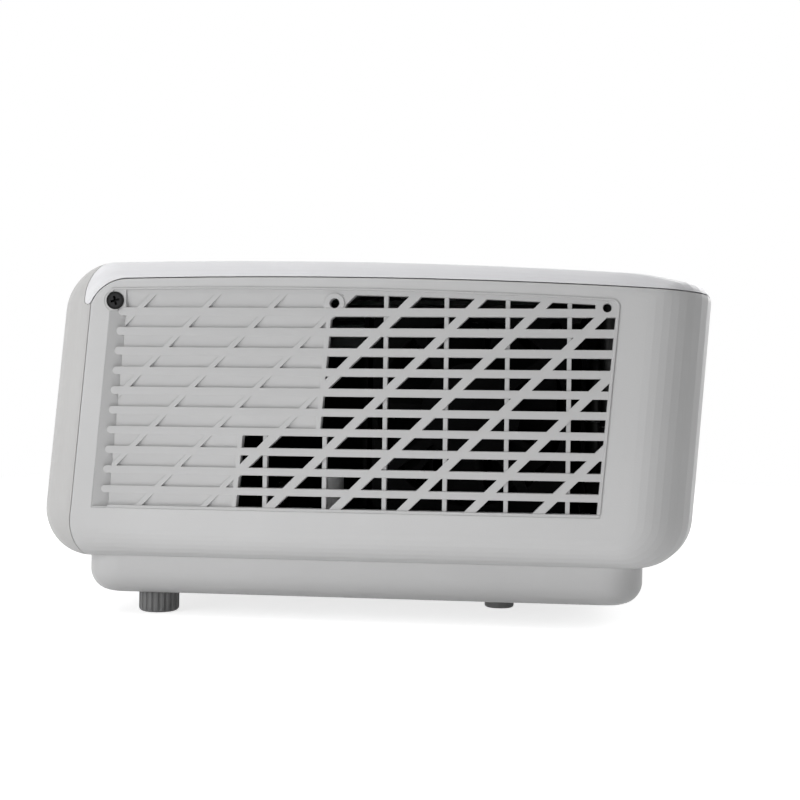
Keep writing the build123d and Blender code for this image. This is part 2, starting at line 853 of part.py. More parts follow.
# ---------------------------------------------------------------- cover and bezel
key_board_half = (27.0, 47.0)
key_board_y = key_y - 1.0
key_post_inset = 3.0
key_posts = [
    (key_x + i * (key_board_half[0] - key_post_inset), key_board_y + j * (key_board_half[1] - key_post_inset))
    for i in (-1, 1)
    for j in (-1, 1)
]
key_post_radius = 2.5
dish_radius = arrow_outer + 3.0
dish_depth = 0.6
key_proud = 0.3  # each key's face above the cover round it
key_low = wall + 0.4  # underside of a key's face below the crown
key_flange = 0.5  # the flange that keeps a key under the cover
flange_high = wall + 0.2
flange_low = wall + 1.0
plunger_radius = 2.0
switch_half = 2.0
tool_low = crown_top - 19.2  # tools for the crown start at this height
tool_rise = 30.0
pilot_depth = 14.0
ir_x = 46.0  # remote control window
ir_z = 60.0
ir_radius = 3.2
ir_rear = -95.0
trim_rear = -86.0
bezel_rear = -80.0
front_clear = -120.0

with BuildPart() as top_cover:
    add(outer_form)
    add(cavity, mode=Mode.SUBTRACT)
    add(cover_block, mode=Mode.INTERSECT)
    with BuildPart(mode=Mode.PRIVATE) as dish:
        with BuildSketch(Plane.XY.offset(tool_low)):
            with Locations((key_x, key_y)):
                Circle(dish_radius)
        extrude(amount=tool_rise)
        add(crown_slab(-over, dish_depth), mode=Mode.INTERSECT)
    add(dish.part, mode=Mode.SUBTRACT)
    # screw posts and the key board's posts
    with BuildPart(mode=Mode.PRIVATE) as posts:
        with BuildSketch(Plane.XY.offset(post_joint_z + seam_gap)):
            with Locations(*post_places):
                Circle(post_radius)
        extrude(amount=crown_top - post_joint_z)
        with BuildSketch(Plane.XY.offset(key_board_z + key_board_thickness)):
            with Locations(*key_posts):
                Circle(key_post_radius)
        extrude(amount=crown_top - key_board_z)
        add(crown_slab(wall - sink, post_joint_z), mode=Mode.INTERSECT)
    add(posts.part)
    with BuildSketch(Plane.XY.offset(post_joint_z)):
        with Locations(*post_places):
            Circle(post_screw_radius + running_gap)
    extrude(amount=pilot_depth, mode=Mode.SUBTRACT)
    for face in key_faces(key_gap).values():
        with BuildSketch(Plane.XY.offset(tool_low)):
            add(face)
        extrude(amount=tool_rise, mode=Mode.SUBTRACT)
save(top_cover.part, "top_cover")

with BuildPart() as front_bezel:
    add(outer_form)
    add(cavity, mode=Mode.SUBTRACT)
    add(bezel_block, mode=Mode.INTERSECT)
    add(tail_room, mode=Mode.SUBTRACT)
    for x, z, radius in ((lens_x, lens_z, lens_trim_radius), (ir_x, ir_z, ir_radius)):
        add(rod(radius + fit_gap, (x, front_clear, z), (x, bezel_rear, z)), mode=Mode.SUBTRACT)
save(front_bezel.part, "front_bezel")

with BuildPart() as ir_window:
    add(rod(ir_radius, (ir_x, front_clear, ir_z), (ir_x, ir_rear, ir_z)))
    add(outer_form, mode=Mode.INTERSECT)
save(ir_window.part, "ir_window")

with BuildPart() as lens_trim:
    add(rod(lens_trim_radius, (lens_x, front_clear, lens_z), (lens_x, trim_rear, lens_z)))
    add(
        rod(lens_trim_bore, (lens_x, front_clear - over, lens_z), (lens_x, trim_rear + over, lens_z)),
        mode=Mode.SUBTRACT,
    )
    add(outer_form, mode=Mode.INTERSECT)
save(lens_trim.part, "lens_trim")

plunger_low = key_board_z + key_board_thickness + switch_height + key_travel + running_gap
flange_faces = key_faces(key_flange)
for name, face in key_faces(0.0).items():
    middle = key_middle(name)
    inside_dish = abs(middle[1] - key_y) < dish_radius
    face_drop = dish_depth - key_proud if inside_dish else -key_proud
    with BuildPart() as key:
        with BuildSketch(Plane.XY.offset(tool_low)):
            add(face)
        extrude(amount=tool_rise)
        add(crown_slab(face_drop, key_low), mode=Mode.INTERSECT)
        with BuildPart(mode=Mode.PRIVATE) as flange:
            with BuildSketch(Plane.XY.offset(tool_low)):
                add(flange_faces[name])
            extrude(amount=tool_rise)
            add(crown_slab(flange_high, flange_low), mode=Mode.INTERSECT)
        add(flange.part)
        with BuildPart(mode=Mode.PRIVATE) as plunger:
            with BuildSketch(Plane.XY.offset(plunger_low)):
                with Locations(middle):
                    Circle(plunger_radius)
            extrude(amount=tool_rise)
            add(crown_slab(key_low, tool_rise), mode=Mode.INTERSECT)
        add(plunger.part)
    save(key.part, name)

with BuildPart() as key_board:
    with BuildSketch(Plane.XY.offset(key_board_z)):
        with Locations((key_x, key_board_y)):
            Rectangle(2 * key_board_half[0], 2 * key_board_half[1])
    extrude(amount=key_board_thickness)
    with BuildSketch(Plane.XY.offset(key_board_z + key_board_thickness)):
        for name in flange_faces:
            with Locations(key_middle(name)):
                Rectangle(2 * switch_half, 2 * switch_half)
    extrude(amount=switch_height)
save(key_board.part, "key_board")

# ---------------------------------------------------------------- fasteners
cross_span = 2.8
cross_width = 0.7
cross_depth = 1.4
cross_turn = 15.0
base_cross_depth = 1.2
base_screw_low = foot_height + 0.2
base_screw_reach = 8.0  # into the cover's posts

with BuildPart() as grille_screw:
    add(rod(screw_head_radius, (skin_x, *screw_axis), (overall_half, *screw_axis)))
    add(rod(screw_shank_radius, (skin_x - screw_length, *screw_axis), (skin_x, *screw_axis)))
    with BuildSketch(Plane.YZ.offset(overall_half)):
        with Locations(screw_axis):
            Rectangle(cross_span, cross_width, rotation=cross_turn)
            Rectangle(cross_width, cross_span, rotation=cross_turn)
    extrude(amount=-cross_depth, mode=Mode.SUBTRACT)
save(grille_screw.part, "grille_screw")

with BuildPart() as base_screws:
    with BuildSketch(Plane.XY.offset(base_screw_low)):
        with Locations(*post_places):
            Circle(screw_head_radius)
    extrude(amount=foot_height + screw_recess - base_screw_low)
    with BuildSketch(Plane.XY.offset(base_screw_low)):
        with Locations(*post_places):
            Circle(post_screw_radius)
    extrude(amount=post_joint_z + base_screw_reach - base_screw_low)
    with BuildSketch(Plane.XY.offset(base_screw_low)):
        with Locations(*post_places):
            Rectangle(cross_span, cross_width)
            Rectangle(cross_width, cross_span)
    extrude(amount=base_cross_depth, mode=Mode.SUBTRACT)
save(base_screws.part, "base_screws")

# ---------------------------------------------------------------- lens
barrel_rear = engine_front - 6.0
barrel_front = ring_front + 3.0
sleeve_front = ring_front + 2.0
sleeve_flange_radius = 26.0
sleeve_flange_thickness = 3.0
ring_bore = sleeve_radius + running_gap
barrel_radius = sleeve_bore - running_gap
barrel_bore = 18.5
barrel_step = 1.5  # the shoulder the lenses sit against
front_seat = 9.0  # depth of the bore's front and rear seats
rear_seat = 6.0
lens_gap = 0.02
front_lens_rear = barrel_front + front_seat - 0.3
rear_lens_rear = barrel_rear - 2.5
lens_rim = 3.0

with BuildPart() as lens_sleeve:
    add(rod(sleeve_radius, (lens_x, engine_front, lens_z), (lens_x, sleeve_front, lens_z)))
    flange_end = (lens_x, engine_front - sleeve_flange_thickness, lens_z)
    add(rod(sleeve_flange_radius, (lens_x, engine_front, lens_z), flange_end))
    add(
        rod(sleeve_bore, (lens_x, engine_front + over, lens_z), (lens_x, sleeve_front - over, lens_z)),
        mode=Mode.SUBTRACT,
    )
save(lens_sleeve.part, "lens_sleeve")

with BuildPart() as lens_barrel:
    add(rod(barrel_radius, (lens_x, barrel_rear, lens_z), (lens_x, barrel_front, lens_z)))
    for radius, start, end in (
        (barrel_bore - barrel_step, barrel_rear + over, barrel_front - over),
        (barrel_bore, barrel_front + front_seat, barrel_front - over),
        (barrel_bore, barrel_rear + over, barrel_rear - rear_seat),
    ):
        add(rod(radius, (lens_x, start, lens_z), (lens_x, end, lens_z)), mode=Mode.SUBTRACT)
save(lens_barrel.part, "lens_barrel")


def lens_glass(rear_y, bulge_front, bulge_rear):
    """A lens turned about the lens axis, with how far each face bulges."""
    radius = barrel_bore - lens_gap
    front_y = rear_y - lens_rim
    with BuildPart() as glass:
        with BuildSketch(Plane.XY):
            with BuildLine():
                ThreePointArc((-radius, front_y), (0, front_y - bulge_front), (radius, front_y))
                ThreePointArc((radius, rear_y), (0, rear_y + bulge_rear), (-radius, rear_y))
                Line((radius, front_y), (radius, rear_y))
                Line((-radius, front_y), (-radius, rear_y))
            make_face()
            with Locations((-radius, rear_y)):
                Rectangle(2 * radius, 4 * radius, mode=Mode.SUBTRACT)
        revolve(axis=Axis.Y)
    return Pos(lens_x, 0, lens_z) * glass.part


save(lens_glass(front_lens_rear, 2.6, 0.8), "front_lens")
save(lens_glass(rear_lens_rear, 0.6, 2.2), "rear_lens")

rib_cut = (1.2, 1.6)  # width and depth of the grip ring's grooves
ring_lip_step = 0.3
ring_lip_bore = sleeve_bore + 0.6
ring_lip = sleeve_front - ring_front - fit_gap

with BuildPart() as focus_ring:
    with BuildSketch(Plane.XZ.offset(-ring_front)):
        with Locations((lens_x, lens_z)):
            Circle(ring_radius)
            Circle(ring_bore, mode=Mode.SUBTRACT)
            with PolarLocations(ring_radius, ring_ribs):
                Rectangle(*rib_cut, mode=Mode.SUBTRACT)
    extrude(amount=-ring_length)
    with BuildSketch(Plane.XZ.offset(-ring_front)):
        with Locations((lens_x, lens_z)):
            Circle(ring_radius - ring_lip_step)
            Circle(ring_lip_bore, mode=Mode.SUBTRACT)
    extrude(amount=-ring_lip)
save(focus_ring.part, "focus_ring")

# ---------------------------------------------------------------- light engine
mirror_half = 44.0
mirror_thickness = 3.0
lamp_window = 17.0
lid_rests = [(-76, -28), (0, -28), (-30, 18), (0, 56)]
lid_rest_radius = 4.0
engine_height = engine_top - engine_bottom
engine_middle = (engine_top + engine_bottom) / 2
inside_height = engine_height - 2 * engine_wall - 2 * fit_gap
inside_depth = engine_rear - engine_front - 2 * engine_wall - 2 * fit_gap
corner_shift = 6.0  # the case's slanted wall behind the mirror line


def engine_plan(grow):
    """The light engine in plan: a box with the corner behind the mirror cut off."""
    with BuildSketch() as plan:
        with BuildLine():
            Polyline(
                (engine_left, engine_front),
                (engine_right, engine_front),
                (engine_right, engine_rear),
                (lens_x + engine_rear - axis_y - corner_shift, engine_rear),
                (engine_left, axis_y + corner_shift - (lens_x - engine_left)),
                close=True,
            )
        make_face()
        if grow:
            offset(amount=grow, kind=Kind.INTERSECTION)
    return plan.sketch


with BuildPart() as engine_case:
    with BuildSketch(Plane.XY.offset(engine_bottom)):
        add(engine_plan(0))
    extrude(amount=engine_height - engine_wall)
    with BuildSketch(Plane.XY.offset(engine_bottom + engine_wall)):
        add(engine_plan(-engine_wall))
    extrude(amount=engine_height, mode=Mode.SUBTRACT)
    lens_start = (lens_x, engine_front + engine_wall + over, lens_z)
    add(rod(sleeve_bore, lens_start, (lens_x, engine_front - over, lens_z)), mode=Mode.SUBTRACT)
    lamp_start = (engine_right - engine_wall - over, axis_y, lens_z)
    add(rod(lamp_window, lamp_start, (engine_right + over, axis_y, lens_z)), mode=Mode.SUBTRACT)
save(engine_case.part, "engine_case")

with BuildPart() as engine_lid:
    with BuildSketch(Plane.XY.offset(engine_top - engine_wall)):
        add(engine_plan(0))
    extrude(amount=engine_wall)
    with BuildSketch(Plane.XY.offset(engine_top)):
        with Locations(*lid_rests):
            Circle(lid_rest_radius)
    extrude(amount=drive_bottom - engine_top)
save(engine_lid.part, "engine_lid")

mirror_offset = (corner_shift - engine_wall * sqrt(2)) / sqrt(2) - fit_gap
mirror_plane = Plane(
    origin=(lens_x, axis_y, engine_middle), x_dir=(1, 1, 0), z_dir=(-1, 1, 0)
).offset(mirror_offset - mirror_thickness)
with BuildPart() as fold_mirror:
    with BuildSketch(mirror_plane):
        Rectangle(2 * mirror_half, inside_height)
    extrude(amount=mirror_thickness)
save(fold_mirror.part, "fold_mirror")

panel_centre = ((engine_rear + engine_front) / 2, engine_middle)


def engine_plate(x, thickness, window):
    """A framed plate across the light path."""
    with BuildPart() as plate:
        with BuildSketch(Plane.YZ.offset(x)):
            with Locations(panel_centre):
                Rectangle(inside_depth, inside_height)
            if window:
                with Locations((axis_y, lens_z)):
                    Rectangle(*window, mode=Mode.SUBTRACT)
        extrude(amount=thickness)
    return plate


lcd_x = 30.0
lcd_window = (88.0, 44.0)
lcd_frame_thickness = 4.0
lcd_thickness = 2.0
lcd_gap = 0.1
lcd_frame = engine_plate(lcd_x, lcd_frame_thickness, lcd_window)
save(lcd_frame.part, "lcd_frame")
with BuildPart() as lcd_panel:
    with BuildSketch(Plane.YZ.offset(lcd_x + (lcd_frame_thickness - lcd_thickness) / 2)):
        with Locations((axis_y, lens_z)):
            Rectangle(*[size - 2 * lcd_gap for size in lcd_window])
    extrude(amount=lcd_thickness)
save(lcd_panel.part, "lcd_panel")

condenser_radius = lamp_window - fit_gap
condenser_rise = 11.0
condenser_rim = 1.5
condenser_bend = (8.5, 8.6)
with BuildPart() as condenser_lens:
    with BuildSketch(Plane.XY):
        with BuildLine():
            Line((0, 0), (0, condenser_rise))
            ThreePointArc((0, condenser_rise), condenser_bend, (condenser_radius, condenser_rim))
            Polyline((condenser_radius, condenser_rim), (condenser_radius, 0), (0, 0))
        make_face()
    revolve(axis=Axis.Y)
condenser_plane = Plane(origin=(engine_right, axis_y, lens_z), x_dir=(0, 1, 0), z_dir=(0, 0, 1))
save(condenser_plane * condenser_lens.part, "condenser_lens")

lamp_width = 44.0
with BuildPart() as lamp_module:
    with BuildSketch(Plane.YZ.offset(engine_right)):
        with Locations((axis_y, lens_z)):
            Rectangle(lamp_width, lamp_width)
    extrude(amount=sink_x - engine_right)
save(lamp_module.part, "lamp_module")

sink_base = 4.0
fin_thickness = 1.3
fin_pitch = (sink_width - fin_thickness) / (sink_fins - 1)
sink_front = fan_y - sink_width / 2
with BuildPart() as heat_sink:
    with BuildSketch(Plane.YZ.offset(sink_x)):
        with Locations((fan_y, (sink_low + sink_high) / 2)):
            Rectangle(sink_width, sink_high - sink_low)
    extrude(amount=sink_base)
    with BuildSketch(Plane.YZ.offset(sink_x + sink_base)):
        for i in range(sink_fins):
            with Locations((sink_front + fin_thickness / 2 + fin_pitch * i, (sink_low + sink_high) / 2)):
                Rectangle(fin_thickness, sink_high - sink_low)
    extrude(amount=fan_x - fit_gap - sink_x - sink_base)
save(heat_sink.part, "heat_sink")

# ---------------------------------------------------------------- exhaust fan
fan_axis = (fan_y, fan_z)
hub_radius = 15.0
fan_corner = 3.0
fan_hole_pitch = fan_size - 9.0
fan_hole_radius = 2.1
fan_spokes = 4
spoke_turn = 35.0
spoke_middle = 22.0
spoke_size = (18.0, 3.0)
motor_thickness = 2.0
shaft_radius = 1.5
shaft_depth = 1.4
rotor_gap = 0.4
rotor_wall = 1.5
blade_lead = 16.0  # half the blade's twist, degrees
blade_inner = (hub_radius - 1.2, 0.0, 6.0)  # radius and the angles of its two corners
blade_outer = (fan_bore - 1.0, 0.0, 4.0)
blade_sweep = 1.25
motor_x = fan_x + fan_depth - motor_thickness
with BuildPart() as fan_frame:
    with BuildSketch(Plane.YZ.offset(fan_x)):
        with Locations(fan_axis):
            RectangleRounded(fan_size, fan_size, fan_corner)
            Circle(fan_bore, mode=Mode.SUBTRACT)
            with GridLocations(fan_hole_pitch, fan_hole_pitch, 2, 2):
                Circle(fan_hole_radius, mode=Mode.SUBTRACT)
    extrude(amount=fan_depth)
    with BuildSketch(Plane.YZ.offset(motor_x)):
        with Locations(fan_axis):
            Circle(hub_radius)
            with PolarLocations(0, fan_spokes, spoke_turn):
                with Locations((spoke_middle, 0)):
                    Rectangle(*spoke_size)
    extrude(amount=motor_thickness)
    add(
        rod(shaft_radius + running_gap, (motor_x - over, *fan_axis), (motor_x + shaft_depth, *fan_axis)),
        mode=Mode.SUBTRACT,
    )
save(fan_frame.part, "fan_frame")


def polar_point(radius, angle):
    return radius * cos(radians(angle)), radius * sin(radians(angle))


with BuildPart() as fan_rotor:
    rotor_low = fan_x + over
    rotor_high = motor_x - rotor_gap
    add(rod(hub_radius - sink, (rotor_low, *fan_axis), (rotor_high, *fan_axis)))
    add(
        rod(hub_radius - sink - rotor_wall, (rotor_low + rotor_wall, *fan_axis), (rotor_high, *fan_axis)),
        mode=Mode.SUBTRACT,
    )
    for i in range(fan_blades):
        turn = 360.0 * i / fan_blades
        with BuildPart(mode=Mode.PRIVATE) as blade:
            for x, lead in ((rotor_low + sink, -blade_lead), (rotor_high - sink, blade_lead)):
                inner = [polar_point(blade_inner[0], turn + lead + t) for t in blade_inner[1:]]
                outer = [polar_point(blade_outer[0], turn + lead * blade_sweep + t) for t in blade_outer[1:]]
                with BuildSketch(Plane.YZ.offset(x)):
                    with BuildLine():
                        Polyline(inner[0], outer[0], outer[1], inner[1], close=True)
                    make_face()
            loft(ruled=True)
        add(Pos(0, *fan_axis) * blade.part)
    add(rod(shaft_radius, (rotor_low + sink, *fan_axis), (motor_x + shaft_depth - fit_gap, *fan_axis)))
save(fan_rotor.part, "fan_rotor")

# ---------------------------------------------------------------- boards, sockets, rear panel
socket_base = main_board_z + board_thickness
main_board_span = ((-76.0, 67.0), (60.0, 93.5))
chips = [((-60.0, 72.0), (-42.0, 88.0), 2.0), ((-30.0, 70.0), (-16.0, 82.0), 1.2)]
with BuildPart() as main_board:
    add(box_between((*main_board_span[0], main_board_z), (*main_board_span[1], socket_base)))
    for low, high, rise in chips:
        add(box_between((*low, socket_base), (*high, socket_base + rise)))
save(main_board.part, "main_board")

hdmi_size = (15.0, 6.0)
hdmi_places = [-4.0, 16.0]
usb_size = (14.4, 7.2)
usb_places = [-24.0]
jack_places = [34.0, 46.0]
jack_width = 8.0
jack_depth = 12.0
jack_nose_radius = 3.8
jack_nose = 2.0
jack_bore = 1.8
socket_depth = 13.0
socket_back = 1.5
tongue_set_back = 2.5
tongue_span = 0.8  # share of the socket's width


def shell_sockets(places, size, metal, tongue):
    """Rectangular sockets on the board: a metal shell open to the rear, with its contact tongue."""
    width, height = size
    with BuildPart() as sockets:
        for x in places:
            low = (x - width / 2, socket_mouth - socket_depth, socket_base)
            high = (x + width / 2, socket_mouth, socket_base + height)
            add(box_between(low, high))
            add(
                box_between(
                    (low[0] + metal, low[1] + socket_back, low[2] + metal),
                    (high[0] - metal, high[1] + over, high[2] - metal),
                ),
                mode=Mode.SUBTRACT,
            )
            lift, thickness = tongue
            reach = width / 2 * tongue_span
            add(
                box_between(
                    (x - reach, low[1] + sink, socket_base + lift),
                    (x + reach, high[1] - tongue_set_back, socket_base + lift + thickness),
                )
            )
    return sockets.part


save(shell_sockets(hdmi_places, hdmi_size, 0.5, (1.4, 1.0)), "hdmi_sockets")
save(shell_sockets(usb_places, usb_size, 0.6, (4.95, 1.4)), "usb_socket")

jack_z = socket_base + jack_width / 2
with BuildPart() as jack_sockets:
    for x in jack_places:
        add(
            box_between(
                (x - jack_width / 2, socket_mouth - jack_depth, socket_base),
                (x + jack_width / 2, socket_mouth - jack_nose, socket_base + jack_width),
            )
        )
        add(rod(jack_nose_radius, (x, socket_mouth - jack_nose - over, jack_z), (x, socket_mouth, jack_z)))
        add(
            rod(jack_bore, (x, socket_mouth - jack_depth + over, jack_z), (x, socket_mouth + over, jack_z)),
            mode=Mode.SUBTRACT,
        )
save(jack_sockets.part, "jack_sockets")

panel_sink = 0.5  # the panel's face below the rear skin
panel_thickness = 1.8
panel_block = (90.0, 110.0)  # from the cavity to beyond the rear face
with BuildPart() as rear_panel:
    add(box_between((panel_left, panel_block[0], panel_low), (panel_right, panel_block[1], panel_high)))
    add(body_form(panel_sink, inner_depths), mode=Mode.INTERSECT)
    add(body_form(panel_sink + panel_thickness, inner_depths), mode=Mode.SUBTRACT)
    windows = [(x, hdmi_size) for x in hdmi_places] + [(x, usb_size) for x in usb_places]
    for x, (width, height) in windows:
        add(
            box_between(
                (x - width / 2 - fit_gap, panel_block[0] - over, socket_base - fit_gap),
                (x + width / 2 + fit_gap, panel_block[1] + over, socket_base + height + fit_gap),
            ),
            mode=Mode.SUBTRACT,
        )
    for x in jack_places:
        add(
            rod(
                jack_nose_radius + fit_gap,
                (x, panel_block[0] - over, jack_z),
                (x, panel_block[1] + over, jack_z),
            ),
            mode=Mode.SUBTRACT,
        )
save(rear_panel.part, "rear_panel")

inlet_sink = 0.8
inlet_depth = 18.0
inlet_mouth = (17.0, 8.6)
inlet_recess = 11.0
pin_radius = 1.2
pin_spread = 4.2
pin_set_back = 2.7
inlet_face = rear_at(inlet_z) - inlet_sink
with BuildPart() as ac_inlet:
    add(
        box_between(
            (inlet_x - inlet_width / 2, inlet_face - inlet_depth, inlet_z - inlet_height / 2),
            (inlet_x + inlet_width / 2, inlet_face, inlet_z + inlet_height / 2),
        )
    )
    with BuildSketch(Plane.XZ.offset(-inlet_face)):
        with Locations((inlet_x, inlet_z)):
            SlotOverall(*inlet_mouth)
    extrude(amount=inlet_recess, mode=Mode.SUBTRACT)
    for x in (inlet_x - pin_spread, inlet_x + pin_spread):
        pin_root = (x, inlet_face - inlet_recess - over, inlet_z)
        add(rod(pin_radius, pin_root, (x, inlet_face - pin_set_back, inlet_z)))
save(ac_inlet.part, "ac_inlet")

power_board_span = ((10.0, -80.0), (90.0, -40.0))
coils = [((56.0, -72.0), (80.0, -48.0), 20.0), ((16.0, -62.0), (32.0, -50.0), 14.0)]
capacitors = [(42.0, -71.5, 8.0, 24.0), (24.0, -73.0, 5.0, 16.0)]  # x, y, radius and height
with BuildPart() as power_board:
    top = power_board_z + board_thickness
    add(box_between((*power_board_span[0], power_board_z), (*power_board_span[1], top)))
    for low, high, rise in coils:
        add(box_between((*low, top), (*high, top + rise)))
    for x, y, radius, rise in capacitors:
        add(rod(radius, (x, y, top), (x, y, top + rise)))
save(power_board.part, "power_board")

# ---------------------------------------------------------------- speakers
speaker_depth = 20.0
speaker_flange = 2.0
speaker_corner = 6.0
basket_depth = 12.0
neck_radius = 11.8
magnet_radius = 13.7
cone_radius = speaker_radius - 2.0
cone_depth = 6.0
cap_radius = 5.5
for name, y in (("front_speaker", -speaker_y), ("rear_speaker", speaker_y)):
    face_x = -inner_x
    centre = (y, speaker_z)
    rim_x = face_x + speaker_flange
    neck_x = face_x + basket_depth
    with BuildPart() as speaker:
        with BuildSketch(Plane.YZ.offset(face_x)):
            with Locations(centre):
                side = 2 * (speaker_radius + over)
                RectangleRounded(side, side, speaker_corner)
        extrude(amount=speaker_flange)
        for x, radius in ((rim_x, speaker_radius), (neck_x, neck_radius)):
            with BuildSketch(Plane.YZ.offset(x)):
                with Locations(centre):
                    Circle(radius)
        loft()
        add(rod(magnet_radius, (neck_x, *centre), (face_x + speaker_depth, *centre)))
        for x, radius in ((face_x, cone_radius), (face_x + cone_depth, cap_radius)):
            with BuildSketch(Plane.YZ.offset(x)):
                with Locations(centre):
                    Circle(radius)
        loft(mode=Mode.SUBTRACT)
    save(speaker.part, name)

# ---------------------------------------------------------------- disc drive
drive_top = drive_bottom + drive_height
with BuildPart() as drive_pan:
    pan_low = (drive_front, -drive_half_y, drive_bottom)
    add(box_between(pan_low, (drive_back, drive_half_y, drive_top - sheet)))
    add(
        box_between(
            (drive_front - over, -drive_half_y + sheet, drive_bottom + sheet),
            (drive_back - sheet, drive_half_y - sheet, drive_top),
        ),
        mode=Mode.SUBTRACT,
    )
save(drive_pan.part, "drive_pan")

with BuildPart() as drive_lid:
    add(box_between((drive_front, -drive_half_y, drive_top - sheet), (drive_back, drive_half_y, drive_top)))
save(drive_lid.part, "drive_lid")

tray_front = -overall_half + tray_face_thickness
tray_rear = disc_x + 64.5
sled_rest = disc_x + 16.0
sled_length = 11.0
sled_half_y = 13.0
sled_travel = 33.5
motor_radius = 12.5
opening_start = sled_rest - 2.5
opening_end = sled_rest + sled_length + sled_travel + 1.0
opening_half_y = 14.5
tray_floor = tray_bottom + 1.0
rod_radius = 1.25
rod_y = 10.5
rod_z = tray_bottom + 3.6
button_y = 42.0
button_z = tray_bottom + 5.0
button_size = (7.0, 3.0)
button_flange = (9.0, 5.0)
button_flange_thickness = 0.9
button_pocket = (12.0, 6.4, 3.0)  # room behind the tray's face for the button
lamp_hole = 0.7
lamp_shift = 10.0
face_round = 1.0
motor_room = 4.0

with BuildPart() as dvd_tray:
    add(box_between((tray_front, -tray_half_y, tray_bottom), (tray_rear, tray_half_y, tray_top)))
    above = (disc_x, 0, tray_top + over)
    add(rod(disc_recess_radius, (disc_x, 0, tray_top - disc_recess), above), mode=Mode.SUBTRACT)
    add(rod(motor_radius + motor_room, (disc_x, 0, tray_floor), above), mode=Mode.SUBTRACT)
    opening_high = (opening_end, opening_half_y, tray_top + over)
    add(box_between((opening_start, -opening_half_y, tray_floor), opening_high), mode=Mode.SUBTRACT)
    pocket_width, pocket_height, pocket_depth = button_pocket
    add(
        box_between(
            (tray_front - over, button_y - pocket_width / 2, button_z - pocket_height / 2),
            (tray_front + pocket_depth, button_y + pocket_width / 2, button_z + pocket_height / 2),
        ),
        mode=Mode.SUBTRACT,
    )
save(dvd_tray.part, "dvd_tray")

with BuildPart() as tray_face:
    add(
        box_between(
            (-overall_half, -tray_face_half_y, tray_face_low), (tray_front, tray_face_half_y, tray_face_high)
        )
    )
    fillet(tray_face.edges().group_by(Axis.X)[0], face_round)
    button_half = [size / 2 + fit_gap for size in button_size]
    add(
        box_between(
            (-overall_half - over, button_y - button_half[0], button_z - button_half[1]),
            (tray_front + over, button_y + button_half[0], button_z + button_half[1]),
        ),
        mode=Mode.SUBTRACT,
    )
    lamp_axis = (button_y - lamp_shift, button_z)
    lamp_start = (-overall_half - over, *lamp_axis)
    add(rod(lamp_hole, lamp_start, (tray_front + over, *lamp_axis)), mode=Mode.SUBTRACT)
save(tray_face.part, "tray_face")

flange_start = tray_front + 2 * running_gap
with BuildPart() as eject_button:
    add(
        box_between(
            (-overall_half, button_y - button_size[0] / 2, button_z - button_size[1] / 2),
            (flange_start, button_y + button_size[0] / 2, button_z + button_size[1] / 2),
        )
    )
    add(
        box_between(
            (flange_start, button_y - button_flange[0] / 2, button_z - button_flange[1] / 2),
            (
                flange_start + button_flange_thickness,
                button_y + button_flange[0] / 2,
                button_z + button_flange[1] / 2,
            ),
        )
    )
save(eject_button.part, "eject_button")

rail_gap = 0.3
rail_set_back = 4.0
rail_rear = disc_x + 52.0
rail_lift = 1.0
rail_height = 5.0
rail_y = tray_half_y + rail_gap + rail_width / 2
with BuildPart() as tray_rails:
    with BuildSketch(Plane.XY.offset(tray_bottom + rail_lift)):
        for y in (-rail_y, rail_y):
            with Locations(((drive_front + rail_set_back + rail_rear) / 2, y)):
                Rectangle(rail_rear - drive_front - rail_set_back, rail_width)
    extrude(amount=rail_height)
save(tray_rails.part, "tray_rails")

motor_height = 3.4
spindle_radius = 1.0
spindle_foot = tray_floor + 0.7
with BuildPart() as spindle_motor:
    add(rod(motor_radius, (disc_x, 0, tray_floor), (disc_x, 0, tray_floor + motor_height)))
    bore_radius = spindle_radius + running_gap
    add(rod(bore_radius, (disc_x, 0, spindle_foot), (disc_x, 0, tray_top)), mode=Mode.SUBTRACT)
save(spindle_motor.part, "spindle_motor")

hub_low = tray_floor + motor_height + 0.3
hub_rest = tray_top - disc_recess + 0.4
hub_disc_radius = 12.0
hub_cone_radius = 7.4
hub_cone_height = 1.6
hub_cone_taper = 12.0
with BuildPart() as disc_hub:
    add(rod(hub_disc_radius, (disc_x, 0, hub_low), (disc_x, 0, hub_rest)))
    with BuildSketch(Plane.XY.offset(hub_rest)):
        with Locations((disc_x, 0)):
            Circle(hub_cone_radius)
    extrude(amount=hub_cone_height, taper=hub_cone_taper)
    add(rod(spindle_radius, (disc_x, 0, spindle_foot + fit_gap), (disc_x, 0, hub_low)))
save(disc_hub.part, "disc_hub")

sled_low = tray_floor + 1.0
sled_high = sled_low + 3.6
with BuildPart() as pickup_sled:
    add(box_between((sled_rest, -sled_half_y, sled_low), (sled_rest + sled_length, sled_half_y, sled_high)))
    for y in (-rod_y, rod_y):
        add(
            rod(
                rod_radius + running_gap,
                (sled_rest - over, y, rod_z),
                (sled_rest + sled_length + over, y, rod_z),
            ),
            mode=Mode.SUBTRACT,
        )
save(pickup_sled.part, "pickup_sled")

pickup_radius = 2.6
pickup_height = 0.8
pickup_x = sled_rest + 8.0
with BuildPart() as pickup_lens:
    add(rod(pickup_radius, (pickup_x, 0, sled_high), (pickup_x, 0, sled_high + pickup_height)))
save(pickup_lens.part, "pickup_lens")

with BuildPart() as sled_rods:
    for y in (-rod_y, rod_y):
        add(rod(rod_radius, (opening_start, y, rod_z), (opening_end, y, rod_z)))
save(sled_rods.part, "sled_rods")

